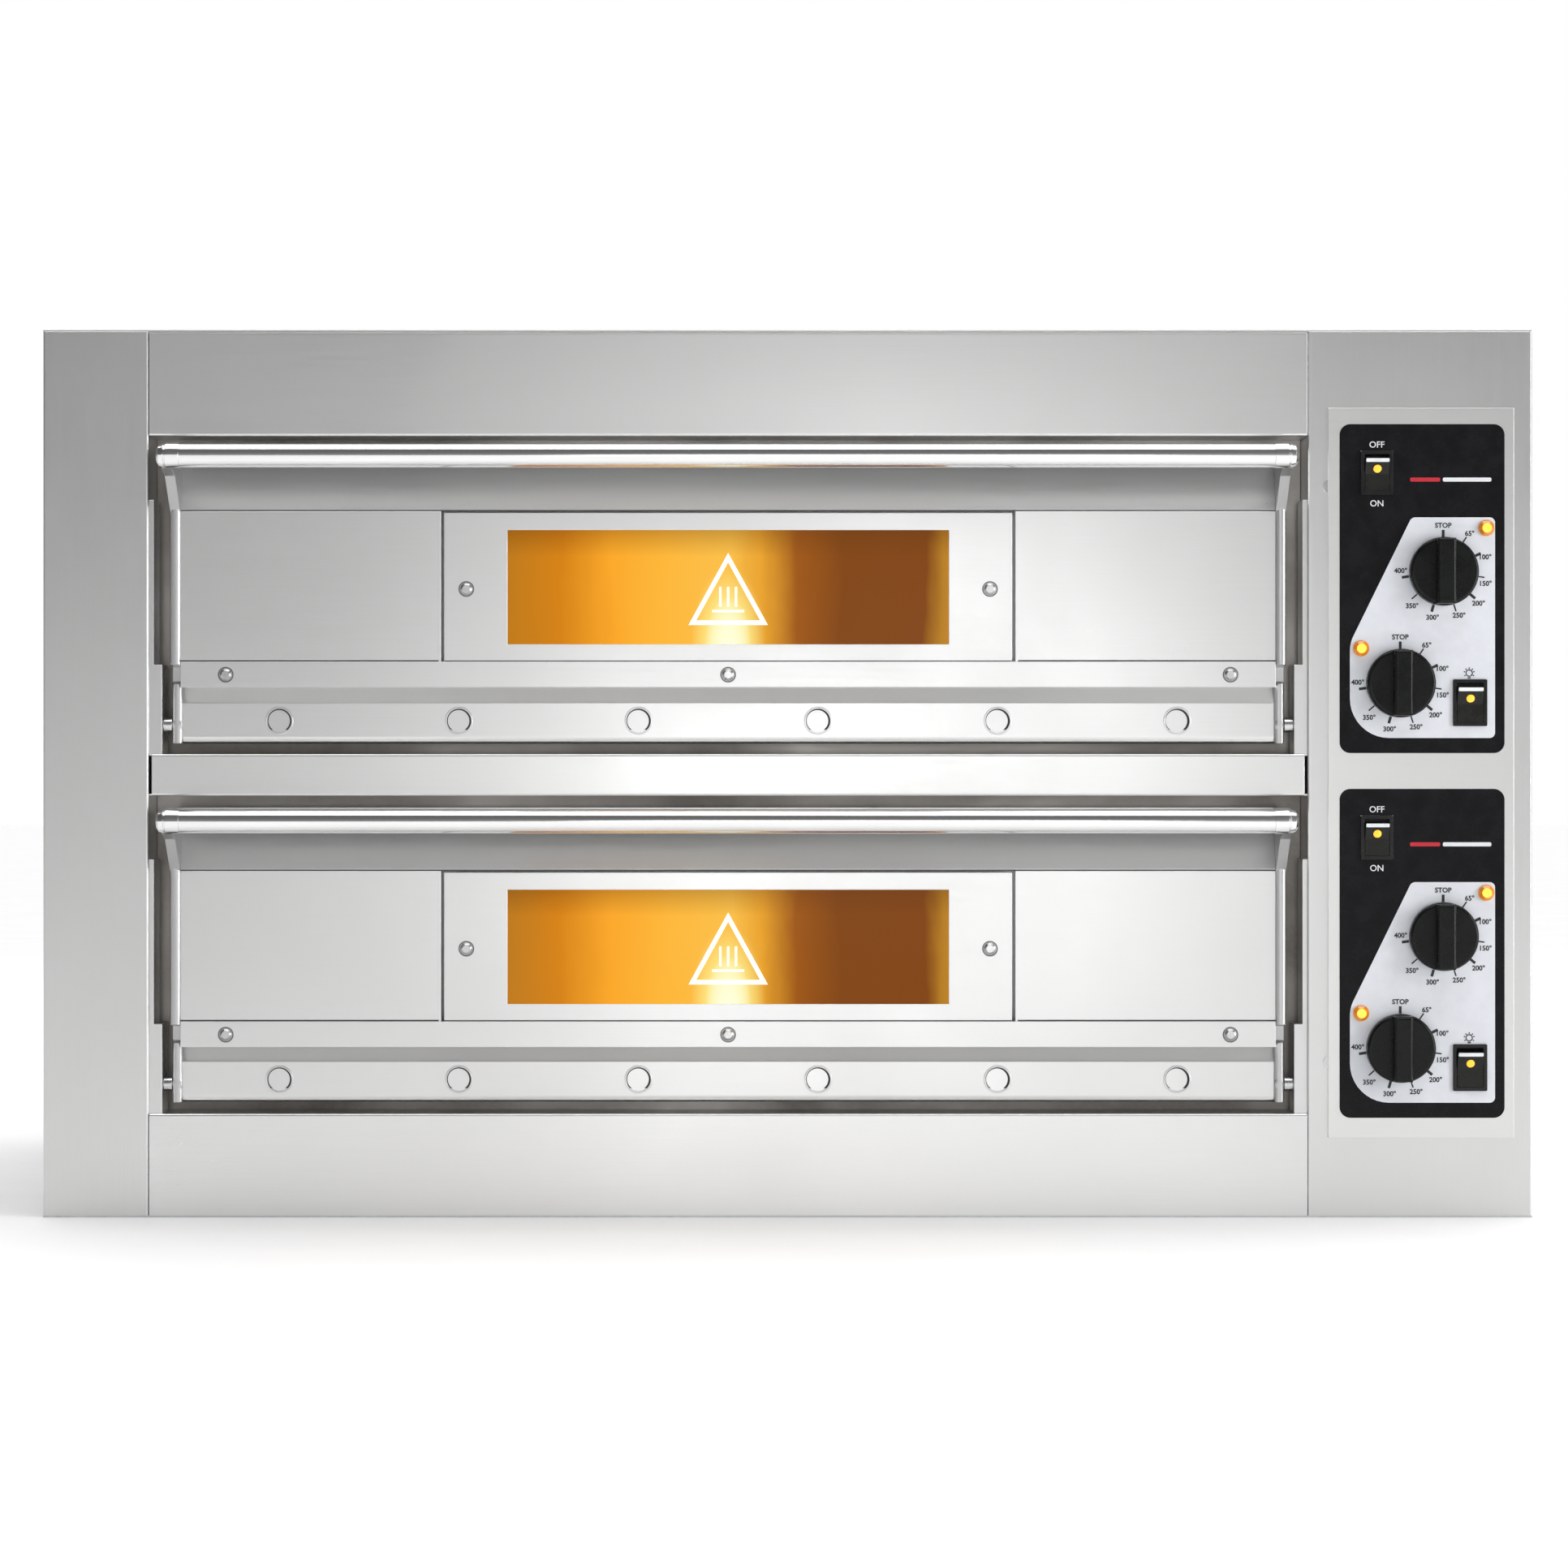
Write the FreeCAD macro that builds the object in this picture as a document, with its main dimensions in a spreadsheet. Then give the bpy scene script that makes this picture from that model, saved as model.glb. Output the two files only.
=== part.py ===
import FreeCAD, Part
import math
import os
import re
import Sketcher

# A two-deck electric bakery oven. Origin at the centre of the footprint, underside at z = 0, front toward -Y.

doc = FreeCAD.newDocument("DeckOven")
sizes = doc.addObject("Spreadsheet::Sheet", "Sizes")

SIZES = {
    # casing
    "body_wide": 1250.0,
    "body_deep": 735.0,
    "body_tall": 745.0,
    "metal": 1.5,
    "post_wide": 88.5,
    "fascia_wide": 188.5,
    "sill_tall": 87.0,
    "header_tall": 89.0,
    "crossbar_tall": 35.0,
    "deck_pitch": "=(body_tall - sill_tall - header_tall + crossbar_tall) / 2",
    "crossbar_gap": 2.7,
    "seam": 0.4,
    "jamb_deep": 60.0,
    "wrap_deep": 30.0,
    "fold_round": 1.8,
    "lip_tall": 20.0,
    "lip_slack": 0.2,
    "return_deep": 44.0,
    # doors, heights measured up from the bottom of their opening
    "door_side_gap": 18.5,
    "cheek_thick": 8.5,
    "door_thick": 38.0,
    "door_top_gap": 10.0,
    "skirt_low": 9.0,
    "skirt_flat_top": 43.0,
    "skirt_back": 10.5,
    "bevel_top": 56.0,
    "tuck_deep": 17.5,
    "score_tall": 1.3,
    "score_deep": 0.9,
    "strip_top": 77.5,
    "strip_screw_up": 66.5,
    "strip_screw_in": 38.0,
    "scoop_tall": 51.5,
    "scoop_back": 14.0,
    "scoop_lip": 8.0,
    "vent_radius": 10.3,
    "vent_up": 28.0,
    "vent_margin": 81.5,
    "vent_roll": 1.2,
    "window_half": 238.4,
    "window_gap": 2.6,
    "window_sink": 1.0,
    "glass_half": 185.3,
    "glass_low": 92.0,
    "glass_under_top": 69.0,
    "glass_thick": 4.0,
    "glass_lap": 9.0,
    "glass_slack": 0.4,
    "hinge_up": 24.5,
    "hinge_back": 12.0,
    "pin_radius": 4.0,
    "boss_radius": 6.0,
    "pin_fit": 0.06,
    "bar_radius": 10.0,
    "bar_wall": 1.5,
    "bar_out": 52.0,
    "bar_drop": 11.0,
    "cap_radius": 10.5,
    "bracket_wide": 11.0,
    "bracket_step": 7.0,
    "bracket_tall": 75.0,
    "screw_head": 5.2,
    "screw_dome": 2.4,
    "screw_shank": 2.0,
    "screw_slack": 0.2,
    # baking decks, heights measured up from the bottom of their opening
    "chamber_side": 31.5,
    "chamber_low": 35.0,
    "chamber_under_top": 42.0,
    "rear_gap": 49.0,
    "stone_low": 60.0,
    "stone_thick": 15.0,
    "stone_slack": 1.5,
    "rail_wide": 20.0,
    "rail_tall": 12.0,
    "tube_radius": 4.0,
    "tube_slack": 0.3,
    "low_tube_up": 41.0,
    "high_tube_drop": 16.0,
    "outlet_radius": 18.0,
    "outlet_wall": 1.5,
    "outlet_out": 22.0,
    "outlet_side": 330.0,
    "outlet_drop": 45.0,
    "lamp_radius": 24.0,
    "blanket_slack": 0.5,
    "blanket_thick": 55.0,
    # controls
    "plate_left": 16.8,
    "plate_right": 15.7,
    "plate_end": 17.0,
    "plate_thick": 2.0,
    "film_left": 26.4,
    "film_right": 23.8,
    "film_low": 83.8,
    "film_split": 30.0,
    "film_extra": 3.9,
    "film_thick": 0.6,
    "film_round": 9.0,
    "cutout_rim": 4.0,
    "knob_radius": 28.8,
    "knob_disc": 9.0,
    "knob_grip_wide": 15.5,
    "knob_grip_tall": 11.0,
    "knob_float": 1.0,
    "shaft_radius": 3.0,
    "shaft_fit": 0.06,
    "thermostat_wide": 40.0,
    "lens_radius": 6.7,
    "lens_stem": 5.5,
    "bezel_wide": 27.0,
    "bezel_tall": 37.0,
    "bezel_thick": 1.8,
    "bezel_rim": 3.0,
    "rocker_slack": 0.5,
    "rocker_tip": 1.6,
    "rocker_apex": 6.5,
    "trunnion_radius": 1.5,
    "trunnion_fit": 0.05,
    # louvres and services
    "louvre_tall": 37.0,
    "louvre_drop": 65.0,
    "louvre_low": "=body_tall - louvre_drop",
    "louvre_out": 2.5,
    "louvre_wide": 9.0,
    "gland_radius": 10.0,
    "gland_bore": 6.0,
    "gland_up": 60.0,
    "gland_side": 60.0,
}
ROCKER_TILT = 10.0
SLABS = 3
LOOPS = 3
VENTS = 6

for row, (alias, number) in enumerate(SIZES.items(), 1):
    sizes.set(f"A{row}", alias)
    sizes.set(f"B{row}", str(number))
    sizes.setAlias(f"B{row}", alias)
doc.recompute()


def bound(text):
    """An expression on the sheet from a formula written with the plain size names."""
    def cell(match):
        word = match.group(0)
        return "Sizes." + word if word in SIZES else word
    return re.sub(r"[a-z][a-z_]*", cell, str(text))


# Named lines of the object, each a formula of the sizes.
LEFT = "(-body_wide/2)"
RIGHT = "(body_wide/2)"
FRONT = "(-body_deep/2)"
BACK = "(body_deep/2)"
ROOF = "(body_tall-metal)"
OPEN_LEFT = "(post_wide-body_wide/2)"
OPEN_RIGHT = "(body_wide/2-fascia_wide)"
MID = "((post_wide-fascia_wide)/2)"
HALF_OPEN = "((body_wide-post_wide-fascia_wide)/2)"
OPEN_TALL = "(deck_pitch-crossbar_tall)"
DOOR_HALF = f"({HALF_OPEN}-door_side_gap-cheek_thick)"
DOOR_TOP = f"({OPEN_TALL}-door_top_gap)"
PANEL_TOP = f"({DOOR_TOP}-scoop_tall)"
GLASS_TOP = f"({DOOR_TOP}-glass_under_top)"
CHAMBER_HALF = f"({HALF_OPEN}-chamber_side)"
CHAMBER_TOP = f"({OPEN_TALL}-chamber_under_top)"
CHAMBER_FRONT = f"({FRONT}+return_deep+metal)"
CHAMBER_BACK = f"({BACK}-rear_gap)"
CHAMBER_DEEP = f"(body_deep-rear_gap-return_deep-metal)"
FILM_TALL = "(deck_pitch+film_extra-film_split)"
PLATE_FACE = f"({FRONT}-plate_thick)"
FILM_FACE = f"({FRONT}-plate_thick-film_thick)"
DECKS = {"lower": "sill_tall", "upper": "(sill_tall+deck_pitch)"}
FILM_LOW = {"lower": "film_low", "upper": "(film_low+deck_pitch+film_extra)"}

X_AXIS = FreeCAD.Vector(1, 0, 0)
Y_AXIS = FreeCAD.Vector(0, 1, 0)
Z_AXIS = FreeCAD.Vector(0, 0, 1)
TURNS = {
    "up": FreeCAD.Rotation(),
    "right": FreeCAD.Rotation(Y_AXIS, 90),
    "left": FreeCAD.Rotation(Y_AXIS, -90),
    "rear": FreeCAD.Rotation(X_AXIS, -90),
    "front": FreeCAD.Rotation(X_AXIS, 90),
}
nodes = []


def place(item, spot, turn=None):
    """Puts an object at a spot given as three formulas."""
    if turn is not None:
        item.Placement = FreeCAD.Placement(FreeCAD.Vector(), turn)
    for key, text in zip("xyz", spot):
        item.setExpression("Placement.Base." + key, bound(text))


def box(name, low, span):
    item = doc.addObject("Part::Box", name)
    for key, text in zip(("Length", "Width", "Height"), span):
        item.setExpression(key, bound(text))
    place(item, low)
    return item


def rod(name, start, way, radius, length):
    item = doc.addObject("Part::Cylinder", name)
    item.setExpression("Radius", bound(radius))
    item.setExpression("Height", bound(length))
    place(item, start, TURNS[way])
    return item


def cone(name, start, way, radius_a, radius_b, length):
    item = doc.addObject("Part::Cone", name)
    item.setExpression("Radius1", bound(radius_a))
    item.setExpression("Radius2", bound(radius_b))
    item.setExpression("Height", bound(length))
    place(item, start, TURNS[way])
    return item


def fused(name, members):
    item = doc.addObject("Part::MultiFuse", name)
    item.Shapes = members
    return item


def cut(name, base, tool):
    item = doc.addObject("Part::Cut", name)
    item.Base = base
    item.Tool = tool
    return item


def grouped(name, members):
    item = doc.addObject("Part::Compound", name)
    item.Links = members
    return item


def node(item, label=None):
    """Marks an object as one named piece of the oven."""
    if label:
        item.Label = label
    nodes.append(item)
    return item


def sketch(body, role, away, loops=(), circles=()):
    """A closed sketch on one of the body's planes: corner loops and circles, every value bound to the sheet."""
    item = body.newObject("Sketcher::SketchObject", "Outline")
    plane = [each for each in body.Origin.OriginFeatures if each.Role == role][0]
    item.AttachmentSupport = [(plane, "")]
    item.MapMode = "FlatFace"
    item.setExpression("AttachmentOffset.Base.z", bound(away))
    for corners in loops:
        count = len(corners)
        first = item.GeometryCount
        ring = [
            (20 * math.cos(2 * math.pi * step / count), 20 * math.sin(2 * math.pi * step / count))
            for step in range(count)
        ]
        for step in range(count):
            here = ring[step]
            there = ring[(step + 1) % count]
            line = Part.LineSegment(FreeCAD.Vector(*here, 0), FreeCAD.Vector(*there, 0))
            item.addGeometry(line, False)
        for step in range(count):
            after = first + (step + 1) % count
            item.addConstraint(Sketcher.Constraint("Coincident", first + step, 2, after, 1))
        for step, corner in enumerate(corners):
            for kind, text, seed in zip(("DistanceX", "DistanceY"), corner, ring[step]):
                mark = item.addConstraint(Sketcher.Constraint(kind, -1, 1, first + step, 1, seed))
                item.setExpression(f"Constraints[{mark}]", bound(text))
    for centre_a, centre_b, radius in circles:
        number = item.addGeometry(Part.Circle(FreeCAD.Vector(3, 3, 0), Z_AXIS, 2), False)
        for kind, text in zip(("DistanceX", "DistanceY"), (centre_a, centre_b)):
            mark = item.addConstraint(Sketcher.Constraint(kind, -1, 1, number, 3, 3.0))
            item.setExpression(f"Constraints[{mark}]", bound(text))
        mark = item.addConstraint(Sketcher.Constraint("Radius", number, 2.0))
        item.setExpression(f"Constraints[{mark}]", bound(radius))
    return item


def pad(body, profile, length, back=False):
    item = body.newObject("PartDesign::Pad", "Pad")
    item.Profile = profile
    item.setExpression("Length", bound(length))
    item.Reversed = back
    body.Tip = item
    doc.recompute()
    return item


def pocket(body, profile, length, back=False):
    before = body.Shape.Volume
    item = body.newObject("PartDesign::Pocket", "Pocket")
    item.Profile = profile
    item.setExpression("Length", bound(length))
    item.Reversed = back
    body.Tip = item
    doc.recompute()
    if body.Shape.Volume > before - 1e-6:
        raise ValueError(body.Label + ": the pocket removed nothing")
    return item


def soften(body, radius, wanted):
    """Rounds the edges of the last feature that pass the test."""
    last = body.Tip
    names = [f"Edge{place + 1}" for place, edge in enumerate(last.Shape.Edges) if wanted(edge)]
    item = body.newObject("PartDesign::Fillet", "Rounded")
    item.Base = (last, names)
    item.setExpression("Radius", bound(radius))
    body.Tip = item
    doc.recompute()
    return item


def straight(edge, direction):
    """True for a straight edge that runs along the direction."""
    if edge.Curve.TypeId != "Part::GeomLine":
        return False
    return abs(edge.tangentAt(edge.FirstParameter).dot(direction)) > 0.999


def near(number, other, by=0.05):
    return abs(number - other) < by


def solid_body(name):
    return doc.addObject("PartDesign::Body", name)


def rect(a, b, c, d):
    """Four corners of an upright rectangle from its low and high lines."""
    return [(a, c), (b, c), (b, d), (a, d)]


def get(alias):
    return float(sizes.get(alias))


# ---- casing sheets -------------------------------------------------------------------------------------

def lipped_plate(name, low, upward):
    """The base or the roof: one flat sheet with a folded lip along each side and the back."""
    body = solid_body(name)
    flat = sketch(body, "XY_Plane", low, [rect(LEFT, RIGHT, FRONT, BACK)])
    pad(body, flat, "metal")
    edge = "(metal+lip_slack)"
    inner = "(2*metal+lip_slack)"
    start = f"({FRONT}+jamb_deep+2)"
    lips = [
        (f"{LEFT}+{edge}", start),
        (f"{LEFT}+{inner}", start),
        (f"{LEFT}+{inner}", f"{BACK}-{inner}"),
        (f"{RIGHT}-{inner}", f"{BACK}-{inner}"),
        (f"{RIGHT}-{inner}", start),
        (f"{RIGHT}-{edge}", start),
        (f"{RIGHT}-{edge}", f"{BACK}-{edge}"),
        (f"{LEFT}+{edge}", f"{BACK}-{edge}"),
    ]
    fold = sketch(body, "XY_Plane", f"{low}+metal" if upward else f"{low}", [lips])
    pad(body, fold, "lip_tall", back=not upward)
    return node(body)


lipped_plate("base_pan", "0", True)
lipped_plate("roof_panel", ROOF, False)

# Fixing points of the side and back sheets.
SIDE_SCREWS = [(f"{FRONT}+{share}*body_deep", height)
               for share in (0.12, 0.5, 0.92) for height in ("12", f"{ROOF}-11")]
BACK_SCREWS = [(f"{share}*body_wide", height)
               for share in (-0.46, -0.17, 0.17, 0.46) for height in ("12", f"{ROOF}-11")]
OUTLETS = {
    deck: (f"({MID}-outlet_side)", f"({floor}+{CHAMBER_TOP}-outlet_drop)") for deck, floor in DECKS.items()
}
HOLE = "(screw_shank+screw_slack)"

left_side = solid_body("left_side_panel")
left_outline = sketch(
    left_side, "YZ_Plane", LEFT,
    [rect(f"{FRONT}+wrap_deep+seam", BACK, "metal", ROOF)],
    [(along, height, HOLE) for along, height in SIDE_SCREWS],
)
pad(left_side, left_outline, "metal")
node(left_side)

right_side = solid_body("right_side_panel")
right_outline = sketch(
    right_side, "YZ_Plane", f"{RIGHT}-metal",
    [rect(f"{FRONT}+wrap_deep+seam", BACK, "metal", ROOF)],
    [(along, height, HOLE) for along, height in SIDE_SCREWS],
)
pad(right_side, right_outline, "metal")
# A row of pressed louvres: each a wedge-shaped hood over a slot, open toward the rear.
LOUVRES = 26
hood_start = f"({FRONT}+0.12*body_deep)"
hoods = []
slots = []
for number in range(LOUVRES):
    along = f"({hood_start}+{number}*0.76*body_deep/{LOUVRES - 1})"
    hoods.append([
        (f"{RIGHT}", along),
        (f"{RIGHT}+louvre_out", f"{along}+louvre_wide"),
        (f"{RIGHT}", f"{along}+louvre_wide"),
    ])
    slots.append([
        (f"{RIGHT}-metal", f"{along}+2.2"),
        (f"{RIGHT}", f"{along}+3.6"),
        (f"{RIGHT}+louvre_out-1.1", f"{along}+louvre_wide"),
        (f"{RIGHT}-metal", f"{along}+louvre_wide"),
    ])
louvre_sketch = sketch(right_side, "XY_Plane", "louvre_low", hoods)
pad(right_side, louvre_sketch, "louvre_tall")
slot_sketch = sketch(right_side, "XY_Plane", "louvre_low+louvre_tall-1.2", slots)
pocket(right_side, slot_sketch, "louvre_tall-2.4")
node(right_side)

back = solid_body("back_panel")
back_slots = [
    rect(f"{RIGHT}-fascia_wide*0.78", f"{RIGHT}-fascia_wide*0.22", f"body_tall*0.7+{14 * step}",
         f"body_tall*0.7+{14 * step}+5")
    for step in range(7)
]
back_outline = sketch(
    back, "XZ_Plane", f"-{BACK}+metal",
    [rect(f"{LEFT}+metal", f"{RIGHT}-metal", "metal", ROOF)] + back_slots,
    [(across, height, HOLE) for across, height in BACK_SCREWS]
    + [(across, height, "(outlet_radius+0.5)") for across, height in OUTLETS.values()]
    + [(f"{RIGHT}-gland_side", "gland_up", "(gland_radius+0.2)")],
)
pad(back, back_outline, "metal", back=True)
node(back)

# ---- front frame ---------------------------------------------------------------------------------------

post = solid_body("left_front_post")
post_outline = sketch(post, "XY_Plane", "metal", [[
    (LEFT, FRONT),
    (OPEN_LEFT, FRONT),
    (OPEN_LEFT, f"{FRONT}+jamb_deep"),
    (f"{OPEN_LEFT}-metal", f"{FRONT}+jamb_deep"),
    (f"{OPEN_LEFT}-metal", f"{FRONT}+metal"),
    (f"{LEFT}+metal", f"{FRONT}+metal"),
    (f"{LEFT}+metal", f"{FRONT}+wrap_deep"),
    (LEFT, f"{FRONT}+wrap_deep"),
]])
pad(post, post_outline, f"{ROOF}-metal")
front_y = -get("body_deep") / 2
soften(post, "fold_round", lambda edge: straight(edge, Z_AXIS) and near(edge.CenterOfMass.y, front_y))
node(post)

fascia = solid_body("control_fascia")
fascia_outline = sketch(fascia, "XY_Plane", "metal", [[
    (OPEN_RIGHT, FRONT),
    (RIGHT, FRONT),
    (RIGHT, f"{FRONT}+wrap_deep"),
    (f"{RIGHT}-metal", f"{FRONT}+wrap_deep"),
    (f"{RIGHT}-metal", f"{FRONT}+metal"),
    (f"{OPEN_RIGHT}+metal", f"{FRONT}+metal"),
    (f"{OPEN_RIGHT}+metal", f"{FRONT}+jamb_deep"),
    (OPEN_RIGHT, f"{FRONT}+jamb_deep"),
]])
pad(fascia, fascia_outline, f"{ROOF}-metal")
soften(fascia, "fold_round", lambda edge: straight(edge, Z_AXIS) and near(edge.CenterOfMass.y, front_y))
fascia_holes = sketch(fascia, "XZ_Plane", f"-{FRONT}+5", [
    rect(f"{OPEN_RIGHT}+film_left+cutout_rim", f"{RIGHT}-film_right-cutout_rim",
         f"{low}+cutout_rim", f"{low}+{FILM_TALL}-cutout_rim")
    for low in FILM_LOW.values()
])
pocket(fascia, fascia_holes, "12")
node(fascia)

header = solid_body("front_header")
header_low = f"(sill_tall+deck_pitch+{OPEN_TALL})"
header_outline = sketch(header, "YZ_Plane", f"{OPEN_LEFT}+seam", [[
    (FRONT, header_low),
    (f"{FRONT}+return_deep", header_low),
    (f"{FRONT}+return_deep", f"{header_low}+metal"),
    (f"{FRONT}+metal", f"{header_low}+metal"),
    (f"{FRONT}+metal", f"{ROOF}-metal"),
    (f"{FRONT}+lip_tall", f"{ROOF}-metal"),
    (f"{FRONT}+lip_tall", ROOF),
    (FRONT, ROOF),
]])
pad(header, header_outline, f"2*{HALF_OPEN}-2*seam")
soften(header, "fold_round", lambda edge: straight(edge, X_AXIS) and near(edge.CenterOfMass.y, front_y))
node(header)

sill = solid_body("front_sill")
sill_outline = sketch(sill, "YZ_Plane", f"{OPEN_LEFT}+seam", [[
    (FRONT, "metal"),
    (f"{FRONT}+metal", "metal"),
    (f"{FRONT}+metal", "sill_tall-metal"),
    (f"{FRONT}+return_deep", "sill_tall-metal"),
    (f"{FRONT}+return_deep", "sill_tall"),
    (FRONT, "sill_tall"),
]])
pad(sill, sill_outline, f"2*{HALF_OPEN}-2*seam")
sill_height = get("sill_tall")
soften(sill, "fold_round", lambda edge: straight(edge, X_AXIS) and near(edge.CenterOfMass.y, front_y)
       and near(edge.CenterOfMass.z, sill_height))
node(sill)

crossbar = solid_body("middle_crossbar")
bar_low = f"(sill_tall+{OPEN_TALL})"
bar_high = "(sill_tall+deck_pitch)"
bar_outline = sketch(crossbar, "YZ_Plane", OPEN_LEFT, [[
    (FRONT, bar_low),
    (f"{FRONT}+return_deep", bar_low),
    (f"{FRONT}+return_deep", f"{bar_low}+metal"),
    (f"{FRONT}+metal", f"{bar_low}+metal"),
    (f"{FRONT}+metal", f"{bar_high}-metal"),
    (f"{FRONT}+return_deep", f"{bar_high}-metal"),
    (f"{FRONT}+return_deep", bar_high),
    (FRONT, bar_high),
]])
pad(crossbar, bar_outline, f"2*{HALF_OPEN}")
soften(crossbar, "fold_round", lambda edge: straight(edge, X_AXIS) and near(edge.CenterOfMass.y, front_y))
bar_ends = sketch(crossbar, "XZ_Plane", f"-{FRONT}+5", [
    rect(f"{OPEN_LEFT}-1", f"{OPEN_LEFT}+crossbar_gap", f"{bar_low}-1", f"{bar_high}+1"),
    rect(f"{OPEN_RIGHT}-crossbar_gap", f"{OPEN_RIGHT}+1", f"{bar_low}-1", f"{bar_high}+1"),
])
pocket(crossbar, bar_ends, "5+fold_round+1")
node(crossbar)

# Wall between the baking decks and the control bay, with holes for the heater tubes and the lamps.
LOOP_PITCH = f"({CHAMBER_DEEP}/{LOOPS})"
LOOP_RADIUS = f"({LOOP_PITCH}/4)"
RUNS = [f"({CHAMBER_FRONT}+{LOOP_PITCH}*{0.25 + 0.5 * run})" for run in range(2 * LOOPS)]
LAMP_ALONG = f"({CHAMBER_FRONT}+{CHAMBER_DEEP}*0.5)"
LAMP_UP = f"({CHAMBER_TOP}-52)"


def wall_circles(slack):
    """Where the heater tubes and the lamps pass through the walls on the control side."""
    spots = []
    for floor in DECKS.values():
        for height in ("low_tube_up", f"({CHAMBER_TOP}-high_tube_drop)"):
            spots += [(run, f"{floor}+{height}", f"(tube_radius+{slack})") for run in RUNS]
        spots.append((LAMP_ALONG, f"{floor}+{LAMP_UP}", f"(lamp_radius-6+{slack})"))
    return spots


bay_wall = solid_body("control_bay_wall")
wall_outline = sketch(
    bay_wall, "YZ_Plane", OPEN_RIGHT,
    [rect(f"{FRONT}+jamb_deep", f"{BACK}-2*metal-2*lip_slack", "metal", ROOF)],
    wall_circles("tube_slack"),
)
pad(bay_wall, wall_outline, "metal")
node(bay_wall)

# Stepped brackets on both walls of each opening; the lower part carries the hinge pin.
brackets = []
for deck, floor in DECKS.items():
    for side in ("left", "right"):
        wall = OPEN_LEFT if side == "left" else OPEN_RIGHT
        sign = "+" if side == "left" else "-"
        low_edge = f"({wall}{sign}bracket_wide)"
        thin_edge = f"({wall}{sign}(bracket_wide-bracket_step))"
        corner = [
            (wall, floor),
            (low_edge, floor),
            (low_edge, f"{floor}+bracket_tall"),
            (thin_edge, f"{floor}+bracket_tall"),
            (thin_edge, f"{floor}+{PANEL_TOP}+8"),
            (wall, f"{floor}+{PANEL_TOP}+8"),
        ]
        bracket = solid_body(f"bracket_{deck}_{side}")
        shape = sketch(bracket, "XZ_Plane", f"-{FRONT}-3", [corner])
        pad(bracket, shape, "return_deep-15", back=True)
        bore = sketch(bracket, "YZ_Plane", f"{OPEN_LEFT}-5" if side == "left" else f"{OPEN_RIGHT}+5", [],
                      [(f"{FRONT}+hinge_back", f"{floor}+hinge_up", "(pin_radius+pin_fit)")])
        pocket(bracket, bore, "bracket_wide+10", back=side == "left")
        brackets.append(bracket)
node(grouped("hinge_brackets", brackets))

# ---- baking decks --------------------------------------------------------------------------------------

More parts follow.
